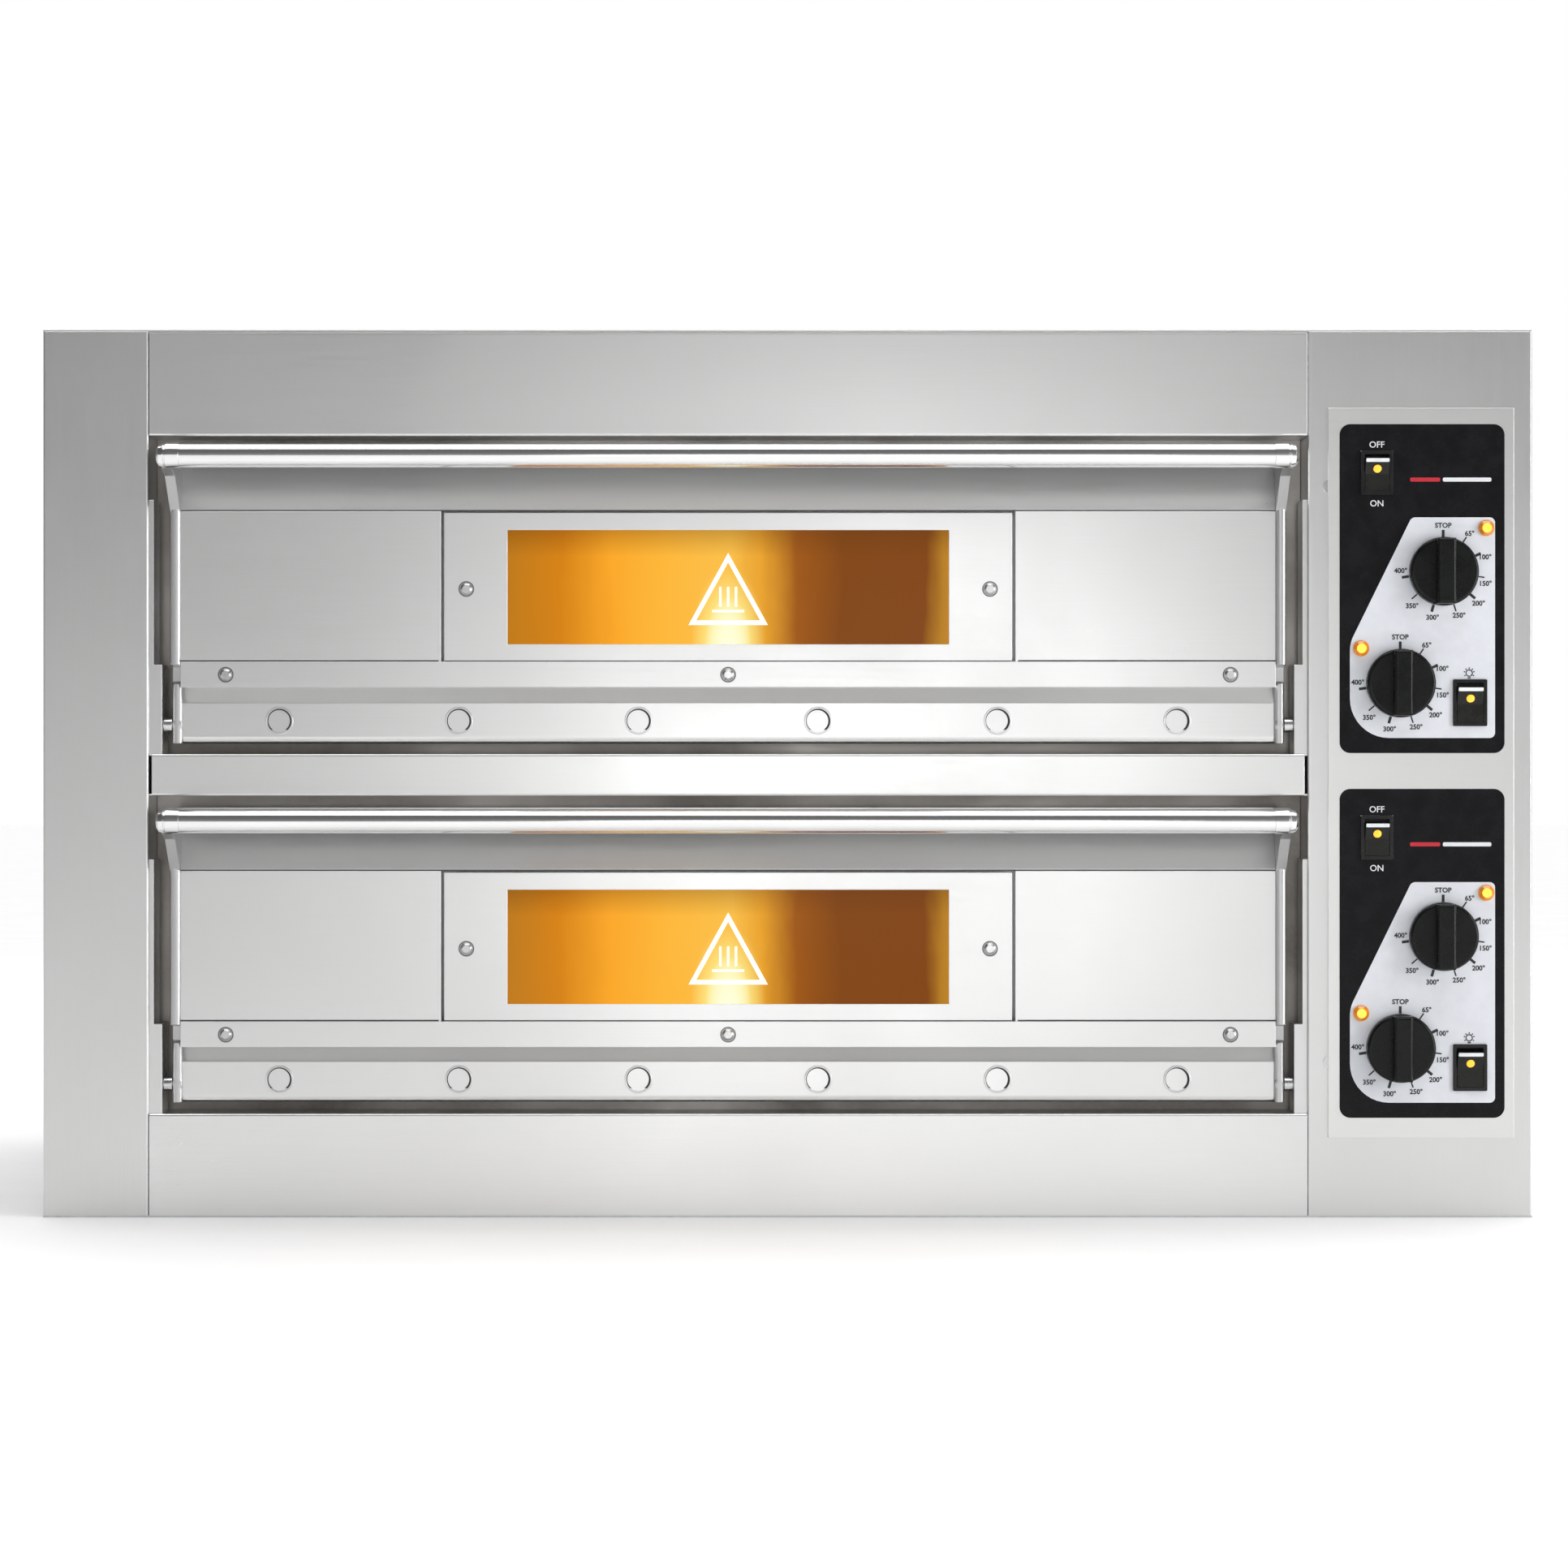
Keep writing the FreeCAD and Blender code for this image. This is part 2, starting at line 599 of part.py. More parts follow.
for deck, floor in DECKS.items():
    # The chamber is welded from flat sheets: five walls, a frame round its mouth, slab rails and a tube hanger.
    low = f"({floor}+chamber_low)"
    top = f"({floor}+{CHAMBER_TOP})"
    left_in = f"({MID}-{CHAMBER_HALF})"
    right_in = f"({MID}+{CHAMBER_HALF})"
    depth = f"({CHAMBER_DEEP})"
    inner_wide = f"(2*{CHAMBER_HALF})"
    tall = f"({top}-{low})"
    rear = f"({CHAMBER_BACK}-metal)"
    slab_wide = f"(2*{CHAMBER_HALF}/{SLABS})"
    sheets = [
        box(f"floor_{deck}", (f"{left_in}-metal", CHAMBER_FRONT, f"{low}-metal"),
            (f"{inner_wide}+2*metal", depth, "metal")),
        box(f"ceiling_{deck}", (f"{left_in}-metal", CHAMBER_FRONT, top),
            (f"{inner_wide}+2*metal", depth, "metal")),
        box(f"wall_left_{deck}", (f"{left_in}-metal", CHAMBER_FRONT, low), ("metal", depth, tall)),
    ]
    right_wall = box(f"wall_right_blank_{deck}", (right_in, CHAMBER_FRONT, low), ("metal", depth, tall))
    passages = [rod(f"passage_{deck}", (f"{right_in}-5", along, height), "right", radius, "12")
                for along, height, radius in wall_circles("tube_slack") if height.startswith(floor)]
    sheets.append(cut(f"wall_right_{deck}", right_wall, fused(f"passages_{deck}", passages)))
    rear_wall = box(f"wall_rear_blank_{deck}", (left_in, rear, low), (inner_wide, "metal", tall))
    across, height = OUTLETS[deck]
    outlet_way = rod(f"outlet_way_{deck}", (across, f"{rear}-5", height), "rear", "outlet_radius", "12")
    sheets.append(cut(f"wall_rear_{deck}", rear_wall, outlet_way))
    mouth_left = f"({OPEN_LEFT}+lip_slack)"
    mouth_right = f"({OPEN_RIGHT}-lip_slack)"
    mouth_y = f"({CHAMBER_FRONT}-metal)"
    mouth_low = f"({floor}-metal)"
    mouth_top = f"({floor}+{OPEN_TALL}+metal)"
    frame_strips = {
        "under": (mouth_left, mouth_right, mouth_low, f"({floor}+stone_low)"),
        "over": (mouth_left, mouth_right, top, mouth_top),
        "left": (mouth_left, left_in, f"({floor}+stone_low)", top),
        "right": (right_in, mouth_right, f"({floor}+stone_low)", top),
    }
    for name, (from_x, to_x, from_z, to_z) in frame_strips.items():
        sheets.append(box(f"frame_{name}_{deck}", (from_x, mouth_y, from_z),
                          (f"{to_x}-{from_x}", "metal", f"{to_z}-{from_z}")))
    rail_low = f"({floor}+stone_low-rail_tall)"
    rail_spots = [(left_in, "rail_tall"), (f"({right_in}-rail_tall)", "rail_tall")]
    rail_spots += [(f"({left_in}+{seam}*{slab_wide}-rail_wide/2)", "rail_wide") for seam in range(1, SLABS)]
    for number, (from_x, wide) in enumerate(rail_spots):
        sheets.append(box(f"rail_{deck}_{number}", (from_x, CHAMBER_FRONT, rail_low),
                          (wide, f"{depth}-metal", "rail_tall")))
    hanger = box(f"hanger_blank_{deck}",
                 (f"{MID}-{CHAMBER_HALF}*0.55", f"{CHAMBER_FRONT}+20", f"{top}-high_tube_drop-8"),
                 ("metal", f"{depth}-40", "high_tube_drop+8"))
    hanger_ways = [rod(f"hanger_way_{deck}", (f"{MID}-{CHAMBER_HALF}*0.55-5", run, f"{top}-high_tube_drop"),
                       "right", "(tube_radius+tube_slack)", "12") for run in RUNS]
    sheets.append(cut(f"hanger_{deck}", hanger, fused(f"hanger_ways_{deck}", hanger_ways)))
    node(grouped(f"{deck}_baking_chamber", sheets))

    slabs = []
    for number in range(SLABS):
        slabs.append(box(
            f"slab_{deck}_{number}",
            (f"{left_in}+{number}*{slab_wide}+stone_slack/2", f"{CHAMBER_FRONT}+stone_slack",
             f"{floor}+stone_low"),
            (f"{slab_wide}-stone_slack", f"{depth}-metal-2*stone_slack", "stone_thick"),
        ))
    node(grouped(f"{deck}_stone_floor", slabs))

    for level, height in (("top", f"({top}-high_tube_drop)"), ("bottom", f"({floor}+low_tube_up)")):
        loops = []
        straight_end = f"({left_in}+24+{LOOP_RADIUS})"
        for number in range(LOOPS):
            front_run = RUNS[2 * number]
            rear_run = RUNS[2 * number + 1]
            length = f"({OPEN_RIGHT}+22-{straight_end})"
            bend = doc.addObject("Part::Torus", f"bend_{deck}_{level}_{number}")
            bend.setExpression("Radius1", bound(LOOP_RADIUS))
            bend.setExpression("Radius2", bound("tube_radius"))
            bend.Angle3 = 180
            place(bend, (straight_end, f"({front_run}+{LOOP_RADIUS})", height), FreeCAD.Rotation(Z_AXIS, 90))
            legs = [rod(f"leg_{deck}_{level}_{number}_{side}", (straight_end, run, height), "right",
                        "tube_radius", length)
                    for side, run in (("front", front_run), ("rear", rear_run))]
            loops.append(fused(f"loop_{deck}_{level}_{number}", [bend] + legs))
        node(grouped(f"{deck}_{level}_elements", loops))

lamps = []
outlets = []
for deck, floor in DECKS.items():
    right_in = f"({MID}+{CHAMBER_HALF})"
    spot_up = f"{floor}+{LAMP_UP}"
    lamps.append(fused(f"lamp_{deck}", [
        cone(f"lamp_glass_{deck}", (right_in, LAMP_ALONG, spot_up), "left", "lamp_radius", "lamp_radius-8", "14"),
        rod(f"lamp_holder_{deck}", (right_in, LAMP_ALONG, spot_up), "right", "lamp_radius-6",
            f"{OPEN_RIGHT}+30-{right_in}"),
    ]))
    across, height = OUTLETS[deck]
    reach = f"({BACK}+outlet_out-{CHAMBER_BACK}+metal)"
    outer = fused(f"outlet_outer_{deck}", [
        rod(f"outlet_tube_{deck}", (across, f"{CHAMBER_BACK}-metal", height), "rear", "outlet_radius", reach),
        rod(f"outlet_collar_{deck}", (across, BACK, height), "rear", "outlet_radius+10", "metal"),
    ])
    inner = rod(f"outlet_bore_{deck}", (across, f"{CHAMBER_BACK}-metal-1", height), "rear",
                "outlet_radius-outlet_wall", f"{reach}+2")
    outlets.append(cut(f"outlet_{deck}", outer, inner))
node(grouped("chamber_lamps", lamps))
node(grouped("steam_outlets", outlets))

# Insulation: one blanket on each side of the pair of chambers, under, between and over them.
side_edge = "(2*metal+lip_slack+blanket_slack)"
blanket_front = f"({FRONT}+jamb_deep+4)"
blanket_back = f"({BACK}-{side_edge})"
shell_left = f"({MID}-{CHAMBER_HALF}-metal-blanket_slack)"
shell_right = f"({MID}+{CHAMBER_HALF}+metal+blanket_slack)"
blanket_low = "(sill_tall+chamber_low-metal-blanket_slack-blanket_thick)"
blanket_top = f"(sill_tall+deck_pitch+{CHAMBER_TOP}+metal+blanket_slack+blanket_thick)"
shell_back = f"({CHAMBER_BACK}+blanket_slack)"
blankets = [
    box("blanket_left", (f"{shell_left}-blanket_thick", blanket_front, blanket_low),
        ("blanket_thick", f"{blanket_back}-{blanket_front}", f"{blanket_top}-{blanket_low}")),
]
right_box = box("blanket_right_block", (shell_right, blanket_front, blanket_low),
                (f"{OPEN_RIGHT}-blanket_slack-{shell_right}", f"{blanket_back}-{blanket_front}",
                 f"{blanket_top}-{blanket_low}"))
right_tubes = [rod("passage", (f"{shell_right}-5", along, height), "right", radius, "chamber_side+10")
               for along, height, radius in wall_circles("2")]
blankets.append(cut("blanket_right", right_box, fused("passages", right_tubes)))
rear_box = box("blanket_rear_block", (shell_left, shell_back, blanket_low),
               (f"{shell_right}-{shell_left}", f"{blanket_back}-{shell_back}", f"{blanket_top}-{blanket_low}"))
rear_tubes = [rod("outlet_way", (across, f"{shell_back}-5", height), "rear", "outlet_radius+2", "rear_gap+10")
              for across, height in OUTLETS.values()]
blankets.append(cut("blanket_rear", rear_box, fused("outlet_ways", rear_tubes)))
layers = {
    "under": (blanket_low, f"(sill_tall+chamber_low-metal-blanket_slack)"),
    "between": (f"(sill_tall+{CHAMBER_TOP}+metal+blanket_slack)",
                "(sill_tall+deck_pitch+chamber_low-metal-blanket_slack)"),
    "over": (f"(sill_tall+deck_pitch+{CHAMBER_TOP}+metal+blanket_slack)", blanket_top),
}
for name, (low, high) in layers.items():
    blankets.append(box(f"blanket_{name}", (shell_left, blanket_front, low),
                        (f"{shell_right}-{shell_left}", f"{shell_back}-{blanket_front}", f"{high}-{low}")))
node(grouped("insulation_blankets", blankets))

# ---- doors ---------------------------------------------------------------------------------------------

SCREW_SPOTS = [f"({MID}-{DOOR_HALF}+strip_screw_in)", MID, f"({MID}+{DOOR_HALF}-strip_screw_in)"]
TUNNEL_HALF = "(glass_half+glass_lap+glass_slack)"


def screw(name, seat, way, length):
    """A domed screw whose head sits on the seat and whose shank runs the other way."""
    opposite = {"front": "rear", "left": "right", "right": "left", "rear": "front"}[way]
    head = cone(name + "_head", seat, way, "screw_head", "screw_head*0.62", "screw_dome")
    shank = rod(name + "_shank", seat, opposite, "screw_shank", length)
    return fused(name, [head, shank])


for deck, floor in DECKS.items():
    door_left = f"({MID}-{DOOR_HALF})"
    door_right = f"({MID}+{DOOR_HALF})"
    door_wide = f"(2*{DOOR_HALF})"
    panel_top = f"({floor}+{PANEL_TOP})"
    door_top = f"({floor}+{DOOR_TOP})"

    skin = solid_body(f"{deck}_door_skin")
    skin_outline = sketch(skin, "YZ_Plane", door_left, [[
        (FRONT, f"{floor}+bevel_top+metal"),
        (f"{FRONT}+metal", f"{floor}+bevel_top+metal"),
        (f"{FRONT}+metal", f"{panel_top}-lip_slack"),
        (f"{FRONT}+scoop_back+metal", f"{door_top}-scoop_lip-lip_slack"),
        (f"{FRONT}+scoop_back+metal", f"{door_top}-metal"),
        (f"{FRONT}+door_thick", f"{door_top}-metal"),
        (f"{FRONT}+door_thick", door_top),
        (f"{FRONT}+scoop_back", door_top),
        (f"{FRONT}+scoop_back", f"{door_top}-scoop_lip"),
        (FRONT, panel_top),
    ]])
    pad(skin, skin_outline, door_wide)
    window_hole = sketch(
        skin, "XZ_Plane", f"-{FRONT}+5",
        [rect(f"{MID}-window_half-window_gap", f"{MID}+window_half+window_gap",
              f"{floor}+strip_top-4", f"{panel_top}-lip_slack-0.4")],
        [(across, f"{floor}+strip_screw_up", HOLE) for across in SCREW_SPOTS],
    )
    pocket(skin, window_hole, "5+metal+0.5")
    # The sheet is scored where it folds into the scoop and where it meets the strip.
    scores = sketch(skin, "XZ_Plane", f"-{FRONT}+5", [
        rect(f"{door_left}-2", f"{door_right}+2", f"{panel_top}-0.5-score_tall", f"{panel_top}-0.5"),
        rect(f"{door_left}-2", f"{MID}-window_half-window_gap-2", f"{floor}+strip_top", f"{floor}+strip_top+score_tall"),
        rect(f"{MID}+window_half+window_gap+2", f"{door_right}+2", f"{floor}+strip_top",
             f"{floor}+strip_top+score_tall"),
    ])
    pocket(skin, scores, "5+score_deep")
    node(skin)

    skirt = solid_body(f"{deck}_vented_skirt")
    skirt_outline = sketch(skirt, "YZ_Plane", door_left, [[
        (f"{FRONT}-metal", f"{floor}+strip_top"),
        (f"{FRONT}-metal", f"{floor}+bevel_top"),
        (f"{FRONT}+tuck_deep", f"{floor}+bevel_top"),
        (f"{FRONT}+skirt_back", f"{floor}+skirt_flat_top"),
        (f"{FRONT}+skirt_back", f"{floor}+skirt_low"),
        (f"{FRONT}+skirt_back+14", f"{floor}+skirt_low"),
        (f"{FRONT}+skirt_back+14", f"{floor}+skirt_low+metal"),
        (f"{FRONT}+skirt_back+metal", f"{floor}+skirt_low+metal"),
        (f"{FRONT}+skirt_back+metal", f"{floor}+skirt_flat_top+0.3"),
        (f"{FRONT}+tuck_deep+metal", f"{floor}+bevel_top+metal"),
        (FRONT, f"{floor}+bevel_top+metal"),
        (FRONT, f"{floor}+strip_top"),
    ]])
    pad(skirt, skirt_outline, door_wide)
    flat_y = front_y + get("skirt_back")
    low_z = (get("sill_tall") if deck == "lower" else get("sill_tall") + get("deck_pitch")) + get("skirt_low")
    soften(skirt, "5.5", lambda edge: straight(edge, X_AXIS) and near(edge.CenterOfMass.y, flat_y)
           and near(edge.CenterOfMass.z, low_z))
    soften(skirt, "4", lambda edge: straight(edge, X_AXIS) and near(edge.CenterOfMass.y, flat_y + get("metal"))
           and near(edge.CenterOfMass.z, low_z + get("metal")))
    vent_spots = [f"({door_left}+vent_margin+{number}*({door_wide}-2*vent_margin)/{VENTS - 1})"
                  for number in range(VENTS)]
    rolls = sketch(skirt, "XZ_Plane", f"-({FRONT}+skirt_back)", [],
                   [(across, f"{floor}+vent_up", "(vent_radius+vent_roll)") for across in vent_spots])
    pad(skirt, rolls, "0.7")
    vents = sketch(skirt, "XZ_Plane", f"-{FRONT}+5", [],
                   [(across, f"{floor}+vent_up", "vent_radius") for across in vent_spots]
                   + [(across, f"{floor}+strip_screw_up", HOLE) for across in SCREW_SPOTS])
    pocket(skirt, vents, "5+skirt_back+metal+1")
    node(skirt)

    liner = solid_body(f"{deck}_door_inner_panel")
    liner_back = f"({FRONT}+door_thick)"
    liner_outline = sketch(liner, "YZ_Plane", door_left, [[
        (f"{liner_back}-metal", f"{door_top}-metal"),
        (f"{liner_back}-metal", f"{floor}+62"),
        (f"{FRONT}+22", f"{floor}+46"),
        (f"{FRONT}+22", f"{floor}+skirt_low+metal+3.5"),
        (f"{FRONT}+22+metal", f"{floor}+skirt_low+metal+3.5"),
        (f"{FRONT}+22+metal", f"{floor}+45.4"),
        (liner_back, f"{floor}+61.4"),
        (liner_back, f"{door_top}-metal"),
    ]])
    pad(liner, liner_outline, door_wide)
    liner_hole = sketch(liner, "XZ_Plane", f"-{liner_back}+5", [
        rect(f"{MID}-glass_half", f"{MID}+glass_half", f"{floor}+glass_low", f"{floor}+{GLASS_TOP}")])
    pocket(liner, liner_hole, "6")
    node(liner)

    window = solid_body(f"{deck}_window_plate")
    face = f"({FRONT}+window_sink)"
    plate_top = f"({panel_top}-3)"
    plate_low = f"({floor}+strip_top-3)"
    spots = [f"({MID}-(window_half+glass_half)/2-8)", f"({MID}+(window_half+glass_half)/2+8)"]
    plate_mid = f"(({plate_low}+{plate_top})/2)"
    face_sketch = sketch(window, "XZ_Plane", f"-{face}",
                         [rect(f"{MID}-window_half", f"{MID}+window_half", plate_low, plate_top)])
    pad(window, face_sketch, "metal", back=True)
    glass_low = f"({floor}+glass_low)"
    glass_top = f"({floor}+{GLASS_TOP})"
    tunnel = sketch(window, "XZ_Plane", f"-({face}+metal)", [
        rect(f"{MID}-{TUNNEL_HALF}-metal", f"{MID}+{TUNNEL_HALF}+metal",
             f"{glass_low}-glass_lap-glass_slack-metal", f"{glass_top}+glass_lap+glass_slack+metal"),
        rect(f"{MID}-{TUNNEL_HALF}", f"{MID}+{TUNNEL_HALF}",
             f"{glass_low}-glass_lap-glass_slack", f"{glass_top}+glass_lap+glass_slack"),
    ])
    pad(window, tunnel, "door_thick-2*metal-window_sink", back=True)
    sight = sketch(window, "XZ_Plane", f"-{FRONT}+5",
                   [rect(f"{MID}-glass_half", f"{MID}+glass_half", glass_low, glass_top)],
                   [(across, plate_mid, HOLE) for across in spots])
    pocket(window, sight, "5+window_sink+metal+0.3")
    node(window)

    panes = []
    for name, depth in (("outer", f"({face}+metal)"), ("inner", f"({liner_back}-metal-glass_thick)")):
        panes.append(box(
            f"pane_{deck}_{name}",
            (f"{MID}-glass_half-glass_lap", depth, f"{glass_low}-glass_lap"),
            ("2*glass_half+2*glass_lap", "glass_thick", f"{glass_top}-{glass_low}+2*glass_lap"),
        ))
    node(grouped(f"{deck}_window_glass", panes))

    # Cheeks with the arms that carry the bar; the arm's end is hollowed to the bar's round.
    bar_y = f"({FRONT}-bar_out)"
    bar_z = f"({door_top}-bar_drop)"
    cheeks = []
    for side in ("left", "right"):
        start = f"({door_left}-cheek_thick)" if side == "left" else door_right
        cheek = solid_body(f"cheek_{deck}_{side}")
        profile = sketch(cheek, "YZ_Plane", start, [[
            (f"{FRONT}+7", f"{floor}+skirt_low"),
            (f"{FRONT}+24", f"{floor}+skirt_low"),
            (f"{FRONT}+24", f"{floor}+45"),
            (f"{FRONT}+door_thick", f"{floor}+60"),
            (f"{FRONT}+door_thick", door_top),
            (f"{FRONT}-20", door_top),
            (f"{bar_y}", f"{bar_z}+bar_radius*0.85"),
            (f"{bar_y}", f"{bar_z}-bar_radius*0.85"),
            (f"{FRONT}-30", f"{bar_z}-15"),
            (f"{FRONT}-4", panel_top),
            (f"{FRONT}-4", f"{floor}+bracket_tall"),
            (f"{FRONT}+12", f"{floor}+bracket_tall-2"),
            (f"{FRONT}+12", f"{floor}+61"),
            (f"{FRONT}+7", f"{floor}+59"),
        ]], [(f"{FRONT}+hinge_back", f"{floor}+hinge_up", "pin_radius")])
        pad(cheek, profile, "cheek_thick")
        nose_y = front_y - 4
        foot_y = front_y + 7
        soften(cheek, "3.6", lambda edge: straight(edge, Z_AXIS)
               and (near(edge.CenterOfMass.y, nose_y) or near(edge.CenterOfMass.y, foot_y)))
        saddle = sketch(cheek, "YZ_Plane", f"{start}-5", [], [(bar_y, bar_z, "cap_radius")])
        pocket(cheek, saddle, "cheek_thick+10", back=True)
        cheeks.append(cheek)
    node(grouped(f"{deck}_door_cheeks", cheeks))

    inner_end = f"({DOOR_HALF}-7.5)"
    bar_solid = rod(f"bar_solid_{deck}", (f"{MID}-{inner_end}", bar_y, bar_z), "right", "bar_radius",
                    f"2*{inner_end}")
    bar_core = rod(f"bar_core_{deck}", (f"{MID}-{inner_end}-1", bar_y, bar_z), "right",
                   "bar_radius-bar_wall", f"2*{inner_end}+2")
    node(cut(f"{deck}_handle_bar", bar_solid, bar_core))

    caps = []
    for side, turn in (("left", 180), ("right", 0)):
        cap = solid_body(f"cap_{deck}_{side}")
        cap_outline = sketch(cap, "XY_Plane", "0", [[
            ("-12", "0"),
            ("19", "0"),
            ("19", "cap_radius-4.5"),
            ("17", "cap_radius-1.6"),
            ("13", "cap_radius-0.5"),
            ("12.4", "cap_radius-1.2"),
            ("11.6", "cap_radius-1.2"),
            ("11.2", "cap_radius"),
            ("0", "cap_radius"),
            ("0", "bar_radius-bar_wall-0.1"),
            ("-12", "bar_radius-bar_wall-0.1"),
        ]])
        turned = cap.newObject("PartDesign::Revolution", "Turned")
        turned.Profile = cap_outline
        turned.ReferenceAxis = (cap_outline, ["H_Axis"])
        turned.Angle = 360
        cap.Tip = turned
        sign = "-" if side == "left" else "+"
        place(cap, (f"{MID}{sign}{inner_end}", bar_y, bar_z), FreeCAD.Rotation(Z_AXIS, turn))
        doc.recompute()
        caps.append(cap)
    node(grouped(f"{deck}_handle_caps", caps))

    pins = []
    for side, way, edge in (("left", "left", f"({door_left}-cheek_thick)"),
                            ("right", "right", f"({door_right}+cheek_thick)")):
        sign = "+" if side == "left" else "-"
        gap = "(door_side_gap-bracket_wide)"
        centre = (f"{FRONT}+hinge_back", f"{floor}+hinge_up")
        pins.append(fused(f"pin_{deck}_{side}", [
            rod(f"boss_{deck}_{side}", (edge, *centre), way, "boss_radius", f"{gap}-0.5"),
            rod(f"shank_{deck}_{side}", (f"{edge}{sign}cheek_thick", *centre), way, "pin_radius",
                f"cheek_thick+{gap}+bracket_wide-2"),
        ]))
    node(grouped(f"{deck}_hinge_pins", pins))

    screws = [screw(f"strip_screw_{deck}_{number}", (across, f"{FRONT}-metal", f"{floor}+strip_screw_up"),
                    "front", "7") for number, across in enumerate(SCREW_SPOTS)]
    screws += [screw(f"plate_screw_{deck}_{number}", (across, face, plate_mid), "front", "7")
               for number, across in enumerate(spots)]
    node(grouped(f"{deck}_door_screws", screws))

# ---- controls ------------------------------------------------------------------------------------------

# Places on each control film: share of the fascia's width from its left edge, share of the film's height.
DIALS = {"top_heat": (0.6005, 0.5517), "bottom_heat": (0.4095, 0.2124)}
LENSES = [(0.792, 0.684), (0.235, 0.318)]
SWITCHES = {"power": (0.3056, 0.852, 1.0), "light": (0.7194, 0.153, 1.06)}


def on_film(deck, share_across, share_up):
    """A place on one deck's control film as two formulas."""
    across = f"({OPEN_RIGHT}+{share_across}*fascia_wide)"
    height = f"({FILM_LOW[deck]}+{share_up}*{FILM_TALL})"
    return across, height


plate_low = "(film_low-plate_end)"
plate_top = f"(film_low+deck_pitch+film_extra+{FILM_TALL}+plate_end-3.3)"
side_fixings = [(f"({OPEN_RIGHT}+19)", f"{plate_low}+63"), (f"({OPEN_RIGHT}+19)", f"{plate_top}-66")]


def film_openings(slack):
    """Round and rectangular openings for everything that passes through one of the two control films."""
    circles = []
    loops = []
    for deck in DECKS:
        circles += [(*on_film(deck, *spot), "(shaft_radius+1.2)") for spot in DIALS.values()]
        circles += [(*on_film(deck, *spot), f"(lens_stem+{slack})") for spot in LENSES]
        for across_share, up_share, scale in SWITCHES.values():
            across, height = on_film(deck, across_share, up_share)
            half_wide = f"({scale}*bezel_wide/2-1.6+{slack})"
            half_tall = f"({scale}*bezel_tall/2-1.6+{slack})"
            loops.append(rect(f"{across}-{half_wide}", f"{across}+{half_wide}",
                              f"{height}-{half_tall}", f"{height}+{half_tall}"))
    return loops, circles


loops, circles = film_openings("screw_slack")
plate = solid_body("control_plate")
plate_sketch = sketch(
    plate, "XZ_Plane", f"-{FRONT}",
    [rect(f"{OPEN_RIGHT}+plate_left", f"{RIGHT}-plate_right", plate_low, plate_top)] + loops, circles)
pad(plate, plate_sketch, "plate_thick")
reliefs = sketch(plate, "XZ_Plane", f"-{FRONT}", [],
                 [(across, height, "(6.25+screw_slack)") for across, height in side_fixings])
pocket(plate, reliefs, "plate_thick-0.9", back=True)
node(plate)

films = []
for deck in DECKS:
    film = solid_body(f"film_{deck}")
    film_sketch = sketch(film, "XZ_Plane", f"-{PLATE_FACE}", [
        rect(f"{OPEN_RIGHT}+film_left", f"{RIGHT}-film_right", FILM_LOW[deck],
             f"{FILM_LOW[deck]}+{FILM_TALL}")])
    pad(film, film_sketch, "film_thick")
    soften(film, "film_round", lambda edge: straight(edge, Y_AXIS))
    pick = 0 if deck == "lower" else 1
    holes = sketch(film, "XZ_Plane", f"-{PLATE_FACE}+5", loops[2 * pick:2 * pick + 2],
                   circles[4 * pick:4 * pick + 4])
    pocket(film, holes, "10")
    films.append(film)
node(grouped("control_films", films))

lenses = []
for deck in DECKS:
    for number, spot in enumerate(LENSES):
        across, height = on_film(deck, *spot)
        lenses.append(fused(f"indicator_{deck}_{number}", [
            rod(f"lens_rim_{deck}_{number}", (across, FILM_FACE, height), "front", "lens_radius", "1.4"),
            cone(f"lens_top_{deck}_{number}", (across, f"{FILM_FACE}-1.4", height), "front",
                 "lens_radius-0.5", "lens_radius*0.45", "2.8"),
            rod(f"lens_stem_{deck}_{number}", (across, FILM_FACE, height), "rear", "lens_stem", "24"),
        ]))
node(grouped("indicator_lamps", lenses))

thermostats = []
for deck in DECKS:
    for dial, spot in DIALS.items():
        across, height = on_film(deck, *spot)
        case = box(f"case_{deck}_{dial}", (f"{across}-thermostat_wide/2", FRONT, f"{height}-thermostat_wide/2"),
                   ("thermostat_wide", "38", "thermostat_wide"))
        shaft = rod(f"shaft_{deck}_{dial}", (across, f"{FRONT}+1", height), "front", "shaft_radius",
                    "1+plate_thick+film_thick+knob_float+knob_disc+4")
        thermostats.append(fused(f"thermostat_{deck}_{dial}", [case, shaft]))
node(grouped("thermostats", thermostats))

